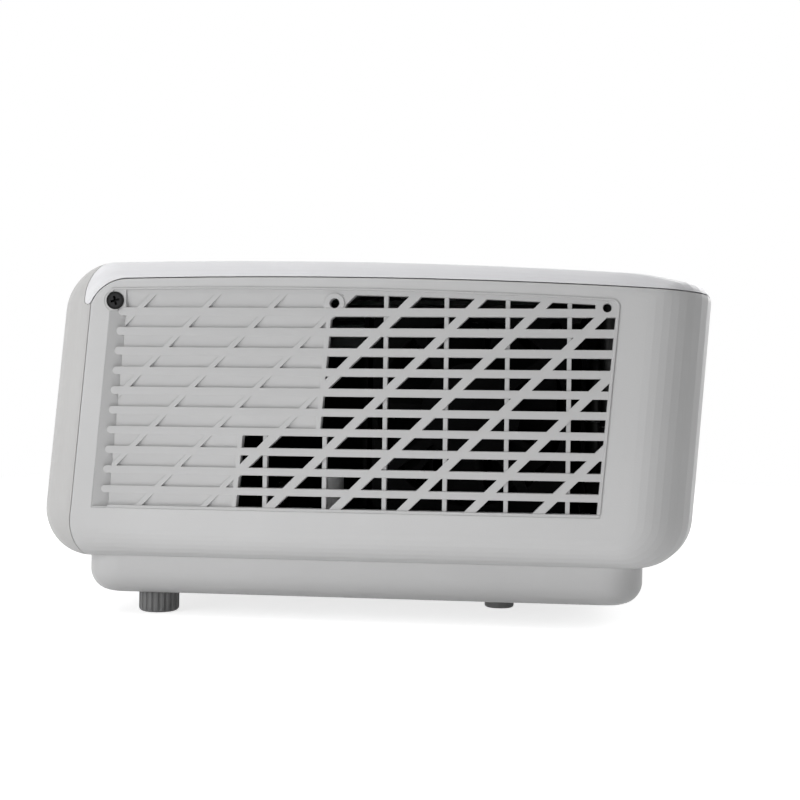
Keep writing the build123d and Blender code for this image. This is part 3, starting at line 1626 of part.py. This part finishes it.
# ---------------------------------------------------------------- feet and stand bush
knob_edge = 1.4  # rounding of the knob's foot
knob_top = foot_height + knob_recess - fit_gap
knob_groove_radius = 0.65
knob_groove_shift = 0.25
stud_tip = 0.6
for name, x in (("left_foot", -knob_x), ("right_foot", knob_x)):
    centre = (x, knob_y)
    with BuildPart() as knob:
        with BuildSketch():
            with Locations(centre):
                Circle(knob_radius)
        extrude(amount=knob_top)
        fillet(knob.edges().group_by(Axis.Z)[0], knob_edge)
        with BuildSketch():
            with Locations(centre):
                with PolarLocations(knob_radius + knob_groove_shift, knob_ribs):
                    Circle(knob_groove_radius)
        extrude(amount=knob_top, mode=Mode.SUBTRACT)
    save(knob.part, name + "_knob")
    with BuildPart() as stud:
        with BuildSketch(Plane.XY.offset(knob_top)):
            with Locations(centre):
                Circle(stud_radius)
        extrude(amount=stud_length)
        chamfer(stud.edges().group_by(Axis.Z)[-1], stud_tip)
    save(stud.part, name + "_stud")

with BuildPart() as rear_feet:
    with BuildSketch():
        with Locations((-pad_x, pad_foot_y), (pad_x, pad_foot_y)):
            Circle(pad_foot_radius)
    extrude(amount=foot_height)
    fillet(rear_feet.edges().group_by(Axis.Z)[0], pad_foot_round)
save(rear_feet.part, "rear_feet")

with BuildPart() as stand_bush:
    with BuildSketch(Plane.XY.offset(foot_height)):
        Circle(bush_radius)
        Circle(bush_bore, mode=Mode.SUBTRACT)
    extrude(amount=bush_length)
save(stand_bush.part, "stand_bush")
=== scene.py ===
import bpy
import bmesh
import math
from mathutils import Matrix, Vector


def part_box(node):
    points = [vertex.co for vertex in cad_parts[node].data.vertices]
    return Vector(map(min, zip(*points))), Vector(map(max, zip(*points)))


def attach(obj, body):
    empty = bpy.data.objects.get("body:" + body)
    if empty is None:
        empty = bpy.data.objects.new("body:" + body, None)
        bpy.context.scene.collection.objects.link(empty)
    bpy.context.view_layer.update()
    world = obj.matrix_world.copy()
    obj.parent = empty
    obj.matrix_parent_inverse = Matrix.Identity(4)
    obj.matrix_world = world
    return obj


# Desk projector with a disc tray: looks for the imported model. Metres, +Z up, vent grille on +X.
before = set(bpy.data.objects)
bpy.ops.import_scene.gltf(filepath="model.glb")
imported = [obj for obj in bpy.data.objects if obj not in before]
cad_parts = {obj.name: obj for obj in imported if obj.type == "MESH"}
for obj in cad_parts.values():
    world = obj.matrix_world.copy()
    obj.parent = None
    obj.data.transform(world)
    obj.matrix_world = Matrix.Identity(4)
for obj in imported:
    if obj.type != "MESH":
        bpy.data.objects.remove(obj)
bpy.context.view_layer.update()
print("frame loaded:", len(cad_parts), "nodes")

# camera: square on to the vent grille, standing slightly behind the middle
viewpoint = {
    "place": (0.5059, 0.05456, 0.0645),
    "right": (-0.11604, 0.99316, 0.01292),
    "up": (0.00913, -0.01194, 0.99989),
    "sensor": 36,  # mm
    "focal": 1300 / 800,  # in sensor widths
    "nearest": 0.01,
}


def setCamera():
    right = Vector(viewpoint["right"]).normalized()
    up = Vector(viewpoint["up"])
    up = (up - right * up.dot(right)).normalized()
    back = right.cross(up)
    cameraData = bpy.data.cameras.new("camera")
    cameraData.sensor_width = viewpoint["sensor"]
    cameraData.lens = viewpoint["focal"] * viewpoint["sensor"]
    cameraData.clip_start = viewpoint["nearest"]
    camera = bpy.data.objects.new("camera", cameraData)
    camera.matrix_world = Matrix((
        (right.x, up.x, back.x, viewpoint["place"][0]),
        (right.y, up.y, back.y, viewpoint["place"][1]),
        (right.z, up.z, back.z, viewpoint["place"][2]),
        (0, 0, 0, 1),
    ))
    bpy.context.scene.collection.objects.link(camera)
    bpy.context.scene.camera = camera


setCamera()
bpy.context.scene.view_settings.view_transform = "Standard"
print("camera set")

# small helpers for node trees
colourMix = {"first": 6, "second": 7, "result": 2}  # a Mix node's colour sockets
noiseRange = (0.3, 0.7)  # where nearly all of a noise's values lie
# the ambient occlusion below paints shade into hollows
hollows = {"samples": 8, "range": (0.35, 0.95)}  # how open a spot is, from closed in to clear
softEdge = {"samples": 4}


class Tree:
    def __init__(self, tree):
        self.tree = tree

    def add(self, kind, **values):
        node = self.tree.nodes.new(kind)
        for key, value in values.items():
            setattr(node, key, value)
        return node

    def put(self, value, socket):  # links an output, or sets a number or a colour
        if isinstance(value, bpy.types.NodeSocket):
            self.tree.links.new(value, socket)
        elif socket.type == "RGBA":
            socket.default_value = (*value, 1)
        else:
            socket.default_value = value

    def reckon(self, operation, *values):
        node = self.add("ShaderNodeMath", operation=operation)
        for value, socket in zip(values, node.inputs):
            self.put(value, socket)
        return node.outputs[0]

    def rays(self, *kinds):  # 1 for these kinds of ray, 0 for others
        path = self.add("ShaderNodeLightPath")
        seen = path.outputs[kinds[0]]
        for kind in kinds[1:]:
            seen = self.reckon("MAXIMUM", seen, path.outputs[kind])
        return seen

    def mixShader(self, factor, first, second, output):
        node = self.add("ShaderNodeMixShader")
        for value, socket in zip((factor, first, second), node.inputs):
            self.put(value, socket)
        self.put(node.outputs[0], output.inputs["Surface"])


class Nodes(Tree):
    def __init__(self, name):
        self.material = bpy.data.materials.new(name)
        self.material.use_nodes = True
        super().__init__(self.material.node_tree)
        self.shader = self.tree.nodes["Principled BSDF"]
        self.output = self.tree.nodes["Material Output"]
        self.place = self.add("ShaderNodeTexCoord").outputs["Object"]

    def set(self, **values):
        for key, value in values.items():
            self.put(value, self.shader.inputs[key.replace("_", " ")])

    def noise(self, size, detail, stretch=(1, 1, 1)):
        mapping = self.add("ShaderNodeMapping")
        mapping.inputs["Scale"].default_value = [1 / (size * s) for s in stretch]
        self.put(self.place, mapping.inputs["Vector"])
        node = self.add("ShaderNodeTexNoise")
        node.inputs["Scale"].default_value = 1.0
        node.inputs["Detail"].default_value = detail
        self.put(mapping.outputs["Vector"], node.inputs["Vector"])
        return node.outputs["Fac"]

    def spread(self, source, low, high, start=noiseRange[0], end=noiseRange[1]):
        node = self.add("ShaderNodeMapRange")
        node.inputs["From Min"].default_value = start
        node.inputs["From Max"].default_value = end
        node.inputs["To Min"].default_value = low
        node.inputs["To Max"].default_value = high
        self.put(source, node.inputs["Value"])
        return node.outputs["Result"]

    def blend(self, factor, first, second, **values):
        node = self.add("ShaderNodeMix", data_type="RGBA", **values)
        self.put(factor, node.inputs["Factor"])
        self.put(first, node.inputs[colourMix["first"]])
        self.put(second, node.inputs[colourMix["second"]])
        return node.outputs[colourMix["result"]]

    def clouded(self, colour, shade, size, detail):  # mottled between a shade of the colour and itself
        cloud = self.spread(self.noise(size, detail), 0, 1)
        return self.blend(cloud, [c * shade for c in colour], colour)

    def within(self, source, low, high):
        above = self.reckon("GREATER_THAN", source, low)
        return self.reckon("MULTIPLY", above, self.reckon("LESS_THAN", source, high))

    # painted shade: the colour darkens where ambient occlusion finds the spot closed in
    def paintCreviceShade(self, colour, reach, least):
        hollow = self.add("ShaderNodeAmbientOcclusion", samples=hollows["samples"], only_local=True)
        hollow.inputs["Distance"].default_value = reach
        level = self.spread(hollow.outputs["AO"], least, 1, *hollows["range"])
        return self.blend(1.0, colour, level, blend_type="MULTIPLY")

    def bump(self, height, depth, edge=0.0):
        node = self.add("ShaderNodeBump")
        node.inputs["Distance"].default_value = depth
        node.inputs["Strength"].default_value = 1.0
        self.put(height, node.inputs["Height"])
        if edge:
            rounded = self.add("ShaderNodeBevel", samples=softEdge["samples"])
            rounded.inputs["Radius"].default_value = edge
            self.put(rounded.outputs["Normal"], node.inputs["Normal"])
        self.put(node.outputs["Normal"], self.shader.inputs["Normal"])


def dress(material, *names):
    for name in names:
        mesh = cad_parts[name].data
        mesh.materials.clear()
        mesh.materials.append(material)


# the highest line of the cover runs along X
crown = {"top": 0.1092, "middle": -0.0396, "radius": 1.9}

# painted shade: the housing's inner walls are painted near black where the inside lies in shade, all but
# the post by the vent
paintedInnerShade = {
    "colour": (0.004, 0.004, 0.004),
    "width": 0.1205,  # half of the painted room, less than the skin's inner face
    "front": -0.0850,
    "rear": 0.0925,  # at the floor; the rear wall leans back by this slope
    "slope": 0.075,
    "low": 0.0208,
    "high": 0.1003,
    "upright": 0.2055,  # where the rounded rear corners and the rounded foot of the rear wall begin
    "foot": 0.052,
    "post": ((0.1, 0.108), (-0.0175, -0.0085)),
}
# under the cover the painted shade ends 1.4 mm below the crown, and its rear is upright
paintedCoverShade = dict(paintedInnerShade, width=0.118, front=-0.080, rear=0.0835, slope=0.0, high=1.0, foot=1.0,
                  crown=crown["top"] - 0.0014)


# painted shade: blends the colour to near black inside the shell, where only shade falls
def paintInnerShade(n, colour, paint):
    split = n.add("ShaderNodeSeparateXYZ")
    n.put(n.place, split.inputs[0])
    x, y, z = split.outputs
    lean = n.reckon("MULTIPLY_ADD", z, -paint["slope"], y)
    corner = n.reckon("ADD", n.reckon("ABSOLUTE", x), lean)
    post = n.reckon("MULTIPLY", n.within(x, *paint["post"][0]), n.within(y, *paint["post"][1]))
    limits = [
        n.within(x, -paint["width"], paint["width"]),
        n.reckon("GREATER_THAN", y, paint["front"]),
        n.reckon("LESS_THAN", lean, paint["rear"]),
        n.reckon("LESS_THAN", corner, paint["upright"]),
        n.reckon("LESS_THAN", n.reckon("SUBTRACT", y, z), paint["foot"]),
        n.within(z, paint["low"], paint["high"]),
        n.reckon("SUBTRACT", 1.0, post),
    ]
    if "crown" in paint:
        away = n.reckon("ADD", y, -crown["middle"])
        fall = n.reckon("MULTIPLY_ADD", n.reckon("MULTIPLY", away, away), 1 / (2 * crown["radius"]), z)
        limits.append(n.reckon("LESS_THAN", fall, paint["crown"]))
    room = limits[0]
    for limit in limits[1:]:
        room = n.reckon("MULTIPLY", room, limit)
    return n.blend(room, colour, paint["colour"])


# moulded plastics: faint mottle, fine spark-eroded grain and softened edges
plasticBase = {"mottle": 0.03, "shade": 0.97, "grain": 0.0005, "depth": 0.00002, "edge": 0.0, "gloss": 0.4,
               "bend": 1.49}


def mouldedPlastic(name, look):
    look = {**plasticBase, **look}
    n = Nodes(name)
    colour = n.clouded(look["colour"], look["shade"], look["mottle"], 4)
    if "creviceShade" in look:  # painted shade between fine ribs, darker where the spot is closed in
        colour = n.paintCreviceShade(colour, *look["creviceShade"])
    # painted shade on the inner walls
    if "inside" in look:
        colour = paintInnerShade(n, colour, look["inside"])
    grain = n.noise(look["grain"], 2)
    n.bump(grain, look["depth"], look["edge"])
    n.set(Base_Color=colour, Roughness=n.spread(grain, *look["roughness"]))
    n.set(IOR=look["bend"], Specular_IOR_Level=look["gloss"])
    return n.material


shellLook = {"colour": (0.62, 0.62, 0.622), "roughness": (0.42, 0.55), "edge": 0.0003}
housingLook = dict(shellLook, inside=paintedInnerShade)
grilleLook = dict(shellLook, colour=(0.56, 0.56, 0.562))
bezelLook = dict(shellLook, colour=(0.57, 0.566, 0.561))
coverLook = {"colour": (0.86, 0.86, 0.88), "roughness": (0.34, 0.46), "edge": 0.0003, "inside": paintedCoverShade}
blackLook = {"colour": (0.02, 0.02, 0.022), "roughness": (0.5, 0.65), "shade": 0.7}
mattLook = {"colour": (0.005, 0.005, 0.0055), "roughness": (0.7, 0.85), "shade": 0.7, "gloss": 0.12}
trimLook = {"colour": (0.015, 0.015, 0.017), "roughness": (0.12, 0.2), "gloss": 0.5, "depth": 0.000004}
trayLook = {"colour": (0.05, 0.05, 0.053), "roughness": (0.45, 0.6), "shade": 0.85, "edge": 0.0002}
keyLook = {"colour": (0.42, 0.42, 0.43), "roughness": (0.35, 0.45), "edge": 0.0004}
padLook = {"colour": (0.46, 0.46, 0.46), "roughness": (0.6, 0.75), "shade": 0.9, "edge": 0.0003}
# the foot's ribs get painted shade in their grooves
footLook = {"colour": (0.26, 0.26, 0.262), "roughness": (0.5, 0.65), "shade": 0.8, "edge": 0.0002,
            "creviceShade": (0.0008, 0.08)}  # reach and least brightness

dress(mouldedPlastic("satinHousing", housingLook), "lower_housing")
dress(mouldedPlastic("satinShell", shellLook), "tray_face")
dress(mouldedPlastic("satinGrille", grilleLook), "side_grille")
dress(mouldedPlastic("satinCover", coverLook), "top_cover")
dress(mouldedPlastic("satinBezel", bezelLook), "front_bezel")
dress(mouldedPlastic("blackMoulding", blackLook), "lens_sleeve", "jack_sockets", "rear_panel", "ac_inlet",
      "pickup_sled", "focus_ring", "lens_barrel")
dress(mouldedPlastic("mattMoulding", mattLook), "engine_case", "engine_lid", "lcd_frame", "fan_frame",
      "fan_rotor")
dress(mouldedPlastic("glossTrim", trimLook), "lens_trim")
dress(mouldedPlastic("trayMoulding", trayLook), "dvd_tray", "disc_hub")
dress(mouldedPlastic("keyCaps", keyLook), "ok_key", "rear_key", "left_key", "front_key", "right_key",
      "power_key", "source_key", "menu_key", "eject_button")
dress(mouldedPlastic("footRubber", footLook), "left_foot_knob", "right_foot_knob")
dress(mouldedPlastic("padRubber", padLook), "rear_feet")
print("plastics done")

# metals: drawn or rolled grain along one axis
metalBase = {"streak": 0.0006, "along": (12, 1, 1), "cloud": 0.02, "shade": 0.86, "depth": 0.000004}


def drawnMetal(name, look):
    look = {**metalBase, **look}
    n = Nodes(name)
    streak = n.noise(look["streak"], 4, look["along"])
    n.bump(streak, look["depth"])
    n.set(Base_Color=n.clouded(look["colour"], look["shade"], look["cloud"], 3), Metallic=1.0)
    n.set(Roughness=n.spread(streak, *look["roughness"]))
    return n.material


# a pan head with a dull middle and a polished black rim, and painted shade in its hollows
def screwHead(name, look):
    n = Nodes(name)
    low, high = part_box("grille_screw")
    shifted = n.add("ShaderNodeVectorMath", operation="SUBTRACT")
    n.put(n.place, shifted.inputs[0])
    shifted.inputs[1].default_value = [(a + b) / 2 for a, b in zip(low, high)]
    flat = n.add("ShaderNodeVectorMath", operation="MULTIPLY")
    n.put(shifted.outputs["Vector"], flat.inputs[0])
    flat.inputs[1].default_value = (0, 1, 1)
    away = n.add("ShaderNodeVectorMath", operation="LENGTH")
    n.put(flat.outputs["Vector"], away.inputs[0])
    middle = n.spread(away.outputs["Value"], 1, 0, *look["ring"])
    grain = n.noise(look["grain"], 3)
    n.bump(grain, look["depth"], look["edge"])
    n.set(Base_Color=n.paintCreviceShade(n.blend(middle, look["rim"], look["colour"]), *look["creviceShade"]))
    n.set(Roughness=n.spread(grain, *look["roughness"]), Specular_IOR_Level=look["gloss"])
    return n.material


steelLook = {"colour": (0.56, 0.57, 0.58), "roughness": (0.28, 0.42), "along": (1, 14, 1)}
zincLook = {"colour": (0.58, 0.58, 0.6), "roughness": (0.3, 0.45)}
sinkLook = {"colour": (0.012, 0.012, 0.0125), "roughness": (0.6, 0.75), "along": (1, 1, 14)}
lampLook = {"colour": (0.5, 0.5, 0.48), "roughness": (0.35, 0.5)}
brassLook = {"colour": (0.72, 0.53, 0.24), "roughness": (0.25, 0.36), "along": (1, 1, 0.2)}
mirrorLook = {"colour": (0.85, 0.86, 0.87), "roughness": (0.02, 0.05), "depth": 0.0000005}
oxideLook = {"colour": (0.018, 0.018, 0.019), "rim": (0.001, 0.001, 0.001), "ring": (0.0019, 0.0022),
             "roughness": (0.5, 0.65), "grain": 0.0004, "depth": 0.00001, "edge": 0.0001, "gloss": 0.15,
             "creviceShade": (0.0008, 0.02)}

dress(drawnMetal("rolledSteel", steelLook), "hdmi_sockets", "usb_socket", "drive_pan", "drive_lid",
      "tray_rails", "spindle_motor", "sled_rods")
dress(drawnMetal("zincPlate", zincLook), "base_screws", "left_foot_stud", "right_foot_stud")
dress(screwHead("blackOxide", oxideLook), "grille_screw")
dress(drawnMetal("blackSink", sinkLook), "heat_sink")
dress(drawnMetal("lampBoard", lampLook), "lamp_module")
dress(drawnMetal("turnedBrass", brassLook), "stand_bush")
dress(drawnMetal("silverMirror", mirrorLook), "fold_mirror")
print("metals done")

# optics: coated lenses, the infrared window and the picture panel
glassBase = {"patch": 0.01, "bend": 1.52, "coat": 1.0, "coatRoughness": 0.02}
lensLook = {"colour": (0.72, 0.8, 0.95), "coating": (0.78, 0.74, 0.95), "clear": 0.97, "roughness": 0.02}
irLook = {"colour": (0.03, 0.004, 0.006), "coating": (0.05, 0.006, 0.01), "clear": 0.3, "roughness": 0.08}


def coatedGlass(name, look):
    look = {**glassBase, **look}
    n = Nodes(name)
    coating = n.spread(n.noise(look["patch"], 2), 0, 1)
    n.set(Base_Color=n.blend(coating, look["colour"], look["coating"]), Roughness=look["roughness"])
    n.set(IOR=look["bend"], Transmission_Weight=look["clear"])
    n.set(Coat_Weight=look["coat"], Coat_Roughness=look["coatRoughness"])
    return n.material


dress(coatedGlass("lensGlass", lensLook), "front_lens", "rear_lens", "condenser_lens", "pickup_lens")
dress(coatedGlass("infraredWindow", irLook), "ir_window")

panelLook = {"pitch": 0.0006, "seam": 0.08, "cell": (0.03, 0.03, 0.045), "other": 1.2,
             "between": (0.005, 0.005, 0.005), "roughness": 0.15}


def pixelPanel(name, look):
    n = Nodes(name)
    turned = n.add("ShaderNodeMapping")
    turned.inputs["Rotation"].default_value = (0, math.pi / 2, 0)
    n.put(n.place, turned.inputs["Vector"])
    grid = n.add("ShaderNodeTexBrick", offset=0.0)
    grid.inputs["Scale"].default_value = 1 / look["pitch"]
    grid.inputs["Mortar Size"].default_value = look["seam"]
    n.put(look["cell"], grid.inputs["Color1"])
    n.put([c * look["other"] for c in look["cell"]], grid.inputs["Color2"])
    n.put(look["between"], grid.inputs["Mortar"])
    n.put(turned.outputs["Vector"], grid.inputs["Vector"])
    n.set(Base_Color=grid.outputs["Color"], Roughness=look["roughness"])
    return n.material


dress(pixelPanel("pixelPanel", panelLook), "lcd_panel")

# circuit boards: green lacquer with raised tracks
boardLook = {"colour": (0.003, 0.014, 0.007), "track": (0.006, 0.03, 0.013), "pitch": 0.004,
             "line": (0.04, 0.08), "raised": 0.00003, "roughness": 0.32, "coat": 0.3}


def boardLacquer(name, look):
    n = Nodes(name)
    tracks = n.add("ShaderNodeTexVoronoi", feature="DISTANCE_TO_EDGE", distance="CHEBYCHEV")
    tracks.inputs["Scale"].default_value = 1 / look["pitch"]
    n.put(n.place, tracks.inputs["Vector"])
    lines = n.spread(tracks.outputs["Distance"], 1, 0, *look["line"])
    n.bump(lines, look["raised"])
    n.set(Base_Color=n.blend(lines, look["colour"], look["track"]))
    n.set(Roughness=look["roughness"], Coat_Weight=look["coat"])
    return n.material


dress(boardLacquer("boardLacquer", boardLook), "main_board", "power_board", "key_board")

# speakers: pressed paper cones
coneLook = {"colour": (0.012, 0.012, 0.012), "fibre": (0.03, 0.03, 0.03), "length": 0.0007,
            "depth": 0.00005, "roughness": 0.8}


def speakerCone(name, look):
    n = Nodes(name)
    fibre = n.noise(look["length"], 5)
    n.bump(fibre, look["depth"])
    n.set(Base_Color=n.blend(n.spread(fibre, 0, 1), look["colour"], look["fibre"]))
    n.set(Roughness=look["roughness"])
    return n.material


dress(speakerCone("speakerCone", coneLook), "front_speaker", "rear_speaker")
print("optics, boards and speakers done")

# printed marks on the keys, each a thin print that follows the crown
keyMarks = {
    "middle": (0.062, 0.006),  # of the ring of arrow keys; the other places are measured from it
    "ring": 0.0135,  # arrows' distance from the middle
    "arrow": 0.0017,
    "back": 0.6,  # how far the arrow's flat side lies behind its middle, as a share of its reach
    "ok": {"radius": 0.002, "line": 0.0004},
    "power": {"place": (0, -0.036), "radius": 0.0026, "line": 0.00045, "arc": (-50, 230),
              "stem": (0.75, 1.1)},  # how far its middle lies in front and its length, in radii
    "source": {"place": (-0.013, 0.034), "radius": 0.0021, "line": 0.0004, "arrow": (0.5, 0.35)},
    "menu": {"place": (0.013, 0.034), "radius": 0.0021, "line": 0.0004, "apart": 2.8, "width": 1.8},
    "sunk": 0.0003,  # the ring's keys lie this far under the crown, the round keys as far above it
    "proud": 0.00003,
    "root": 0.0001,  # how far a print reaches into its key
    "arcSteps": 20,
    "ringSteps": 28,
}
printLook = {"colour": (0.78, 0.78, 0.78), "shade": 0.9, "speckle": 0.0003, "depth": 0.000004,
             "roughness": 0.6}


def markMaterial(name, look):
    n = Nodes(name)
    speckle = n.noise(look["speckle"], 3)
    n.bump(speckle, look["depth"])
    dark = [c * look["shade"] for c in look["colour"]]
    n.set(Base_Color=n.blend(n.spread(speckle, 0, 1), dark, look["colour"]), Roughness=look["roughness"])
    return n.material


def crownHeight(y):
    away = y - crown["middle"]
    return crown["top"] - crown["radius"] + math.sqrt(crown["radius"] ** 2 - away ** 2)


def printMark(name, body, place, faces, drop, material):
    mesh = bmesh.new()
    middle = [a + b for a, b in zip(keyMarks["middle"], place)]
    for face in faces:
        points = [(middle[0] + x, middle[1] + y) for x, y in face]
        top, low = [[mesh.verts.new((x, y, crownHeight(y) - drop + lift)) for x, y in points]
                    for lift in (keyMarks["proud"], -keyMarks["root"])]
        mesh.faces.new(top)
        mesh.faces.new(list(reversed(low)))
        for i in range(len(points)):
            j = (i + 1) % len(points)
            mesh.faces.new((top[j], top[i], low[i], low[j]))
    bmesh.ops.recalc_face_normals(mesh, faces=mesh.faces)
    data = bpy.data.meshes.new(name)
    mesh.to_mesh(data)
    mesh.free()
    data.materials.append(material)
    mark = bpy.data.objects.new(name, data)
    bpy.context.scene.collection.objects.link(mark)
    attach(mark, body)


def arcFaces(radius, line, start, end, steps):
    faces = []
    inner, outer = radius - line / 2, radius + line / 2
    for i in range(steps):
        a, b = [math.radians(start + (end - start) * k / steps) for k in (i, i + 1)]
        ends = ((outer, a), (outer, b), (inner, b), (inner, a))
        faces.append([(r * math.cos(angle), r * math.sin(angle)) for r, angle in ends])
    return faces


def barFace(x, y, width, height):
    corners = ((-1, -1), (1, -1), (1, 1), (-1, 1))
    return [(x + i * width / 2, y + j * height / 2) for i, j in corners]


def addMarks():
    material = markMaterial("markPrint", printLook)
    sunk = keyMarks["sunk"]
    reach, back = keyMarks["arrow"], keyMarks["arrow"] * keyMarks["back"]
    for name, turn in (("right", 0), ("rear", 90), ("left", 180), ("front", 270)):
        c, s = math.cos(math.radians(turn)), math.sin(math.radians(turn))
        tip = [(reach, 0), (-back, reach), (-back, -reach)]
        face = [(x * c - y * s, x * s + y * c) for x, y in tip]
        place = (keyMarks["ring"] * c, keyMarks["ring"] * s)
        printMark(name + "_key_arrow", name + "_button", place, [face], sunk, material)

    power = keyMarks["power"]
    down, length = [power["radius"] * share for share in power["stem"]]
    faces = arcFaces(power["radius"], power["line"], *power["arc"], keyMarks["arcSteps"])
    faces.append(barFace(0, -down, power["line"], length))
    printMark("power_key_mark", "power_button", power["place"], faces, -sunk, material)

    source = keyMarks["source"]
    ahead, behind = source["radius"] * source["arrow"][0], source["radius"] * source["arrow"][1]
    faces = arcFaces(source["radius"], source["line"], 0, 360, keyMarks["ringSteps"])
    faces.append([(ahead, 0), (-behind, ahead), (-behind, -ahead)])
    printMark("source_key_mark", "source_button", source["place"], faces, -sunk, material)

    menu = keyMarks["menu"]
    width, apart = menu["radius"] * menu["width"], menu["line"] * menu["apart"]
    faces = [barFace(0, k * apart, width, menu["line"]) for k in (-1, 0, 1)]
    printMark("menu_key_mark", "menu_button", menu["place"], faces, -sunk, material)

    ok = keyMarks["ok"]
    faces = arcFaces(ok["radius"], ok["line"], 0, 360, keyMarks["ringSteps"])
    printMark("ok_key_ring", "ok_button", (0, 0), faces, sunk, material)


addMarks()
print("key marks done")

# floor, backdrop and light
studio = {
    "floor": (0.7, 0.7, 0.7),
    "half": 4.0,
    "roughness": 0.9,
    "gloss": 0.1,
    "fade": (0.32, 0.75),  # the floor fades to white between these distances
    "lift": 0.75,  # white that the floor adds for the camera alone
    "air": 0.15,  # even light from all round
}
lamps = {
    "topLamp": {"place": (0.12, -0.30, 1.0), "aim": (0, 0, 0.05), "size": 1.2, "power": 6.0},
    "frontLamp": {"place": (0.50, -0.40, 0.12), "aim": (0.12, 0, 0.06), "size": 0.4, "power": 1.65},
    "floorCard": {"place": (0.24, 0.01, 0.003), "aim": (0.24, 0.01, 1.0), "size": 0.2, "power": 0.085},
    "backLamp": {"place": (-0.75, 0.75, 0.6), "aim": (0, 0, 0.05), "size": 0.9, "power": 8.0},
}


def setFloor():
    half = studio["half"]
    mesh = bpy.data.meshes.new("floor")
    corners = [(-half, -half, 0), (half, -half, 0), (half, half, 0), (-half, half, 0)]
    mesh.from_pydata(corners, [], [(0, 1, 2, 3)])
    floor = bpy.data.objects.new("floor", mesh)
    bpy.context.scene.collection.objects.link(floor)
    n = Nodes("paleFloor")
    n.set(Base_Color=studio["floor"], Roughness=studio["roughness"], Specular_IOR_Level=studio["gloss"])
    seen = n.rays("Is Camera Ray", "Is Glossy Ray")
    glow = n.add("ShaderNodeEmission")
    n.put((1, 1, 1), glow.inputs["Color"])
    n.put(n.reckon("MULTIPLY", seen, studio["lift"]), glow.inputs["Strength"])
    lit = n.add("ShaderNodeAddShader")
    n.put(n.shader.outputs[0], lit.inputs[0])
    n.put(glow.outputs[0], lit.inputs[1])
    distance = n.add("ShaderNodeVectorMath", operation="LENGTH")
    n.put(n.place, distance.inputs[0])
    far = n.spread(distance.outputs["Value"], 0, 1, *studio["fade"])
    white = n.add("ShaderNodeEmission")
    white.inputs["Strength"].default_value = 1.0
    n.mixShader(n.reckon("MULTIPLY", far, seen), lit.outputs[0], white.outputs[0], n.output)
    mesh.materials.append(n.material)


def setWorld():
    world = bpy.data.worlds.new("studio")
    bpy.context.scene.world = world
    world.use_nodes = True
    n = Tree(world.node_tree)
    light = n.tree.nodes["Background"]
    white = n.add("ShaderNodeBackground")
    for background, strength in ((light, studio["air"]), (white, 1.0)):
        n.put((1, 1, 1), background.inputs["Color"])
        n.put(strength, background.inputs["Strength"])
    seen = n.rays("Is Camera Ray", "Is Glossy Ray", "Is Transmission Ray")
    n.mixShader(seen, light.outputs[0], white.outputs[0], n.tree.nodes["World Output"])


def addLamp(name, lamp):
    data = bpy.data.lights.new(name, "AREA")
    data.shape = "SQUARE"
    data.size = lamp["size"]
    data.energy = lamp["power"]
    light = bpy.data.objects.new(name, data)
    light.location = lamp["place"]
    light.visible_camera = False
    aim = Vector(lamp["aim"]) - Vector(lamp["place"])
    light.rotation_euler = aim.to_track_quat("-Z", "Y").to_euler()
    bpy.context.scene.collection.objects.link(light)


setFloor()
setWorld()
for name, lamp in lamps.items():
    addLamp(name, lamp)
print("studio set")
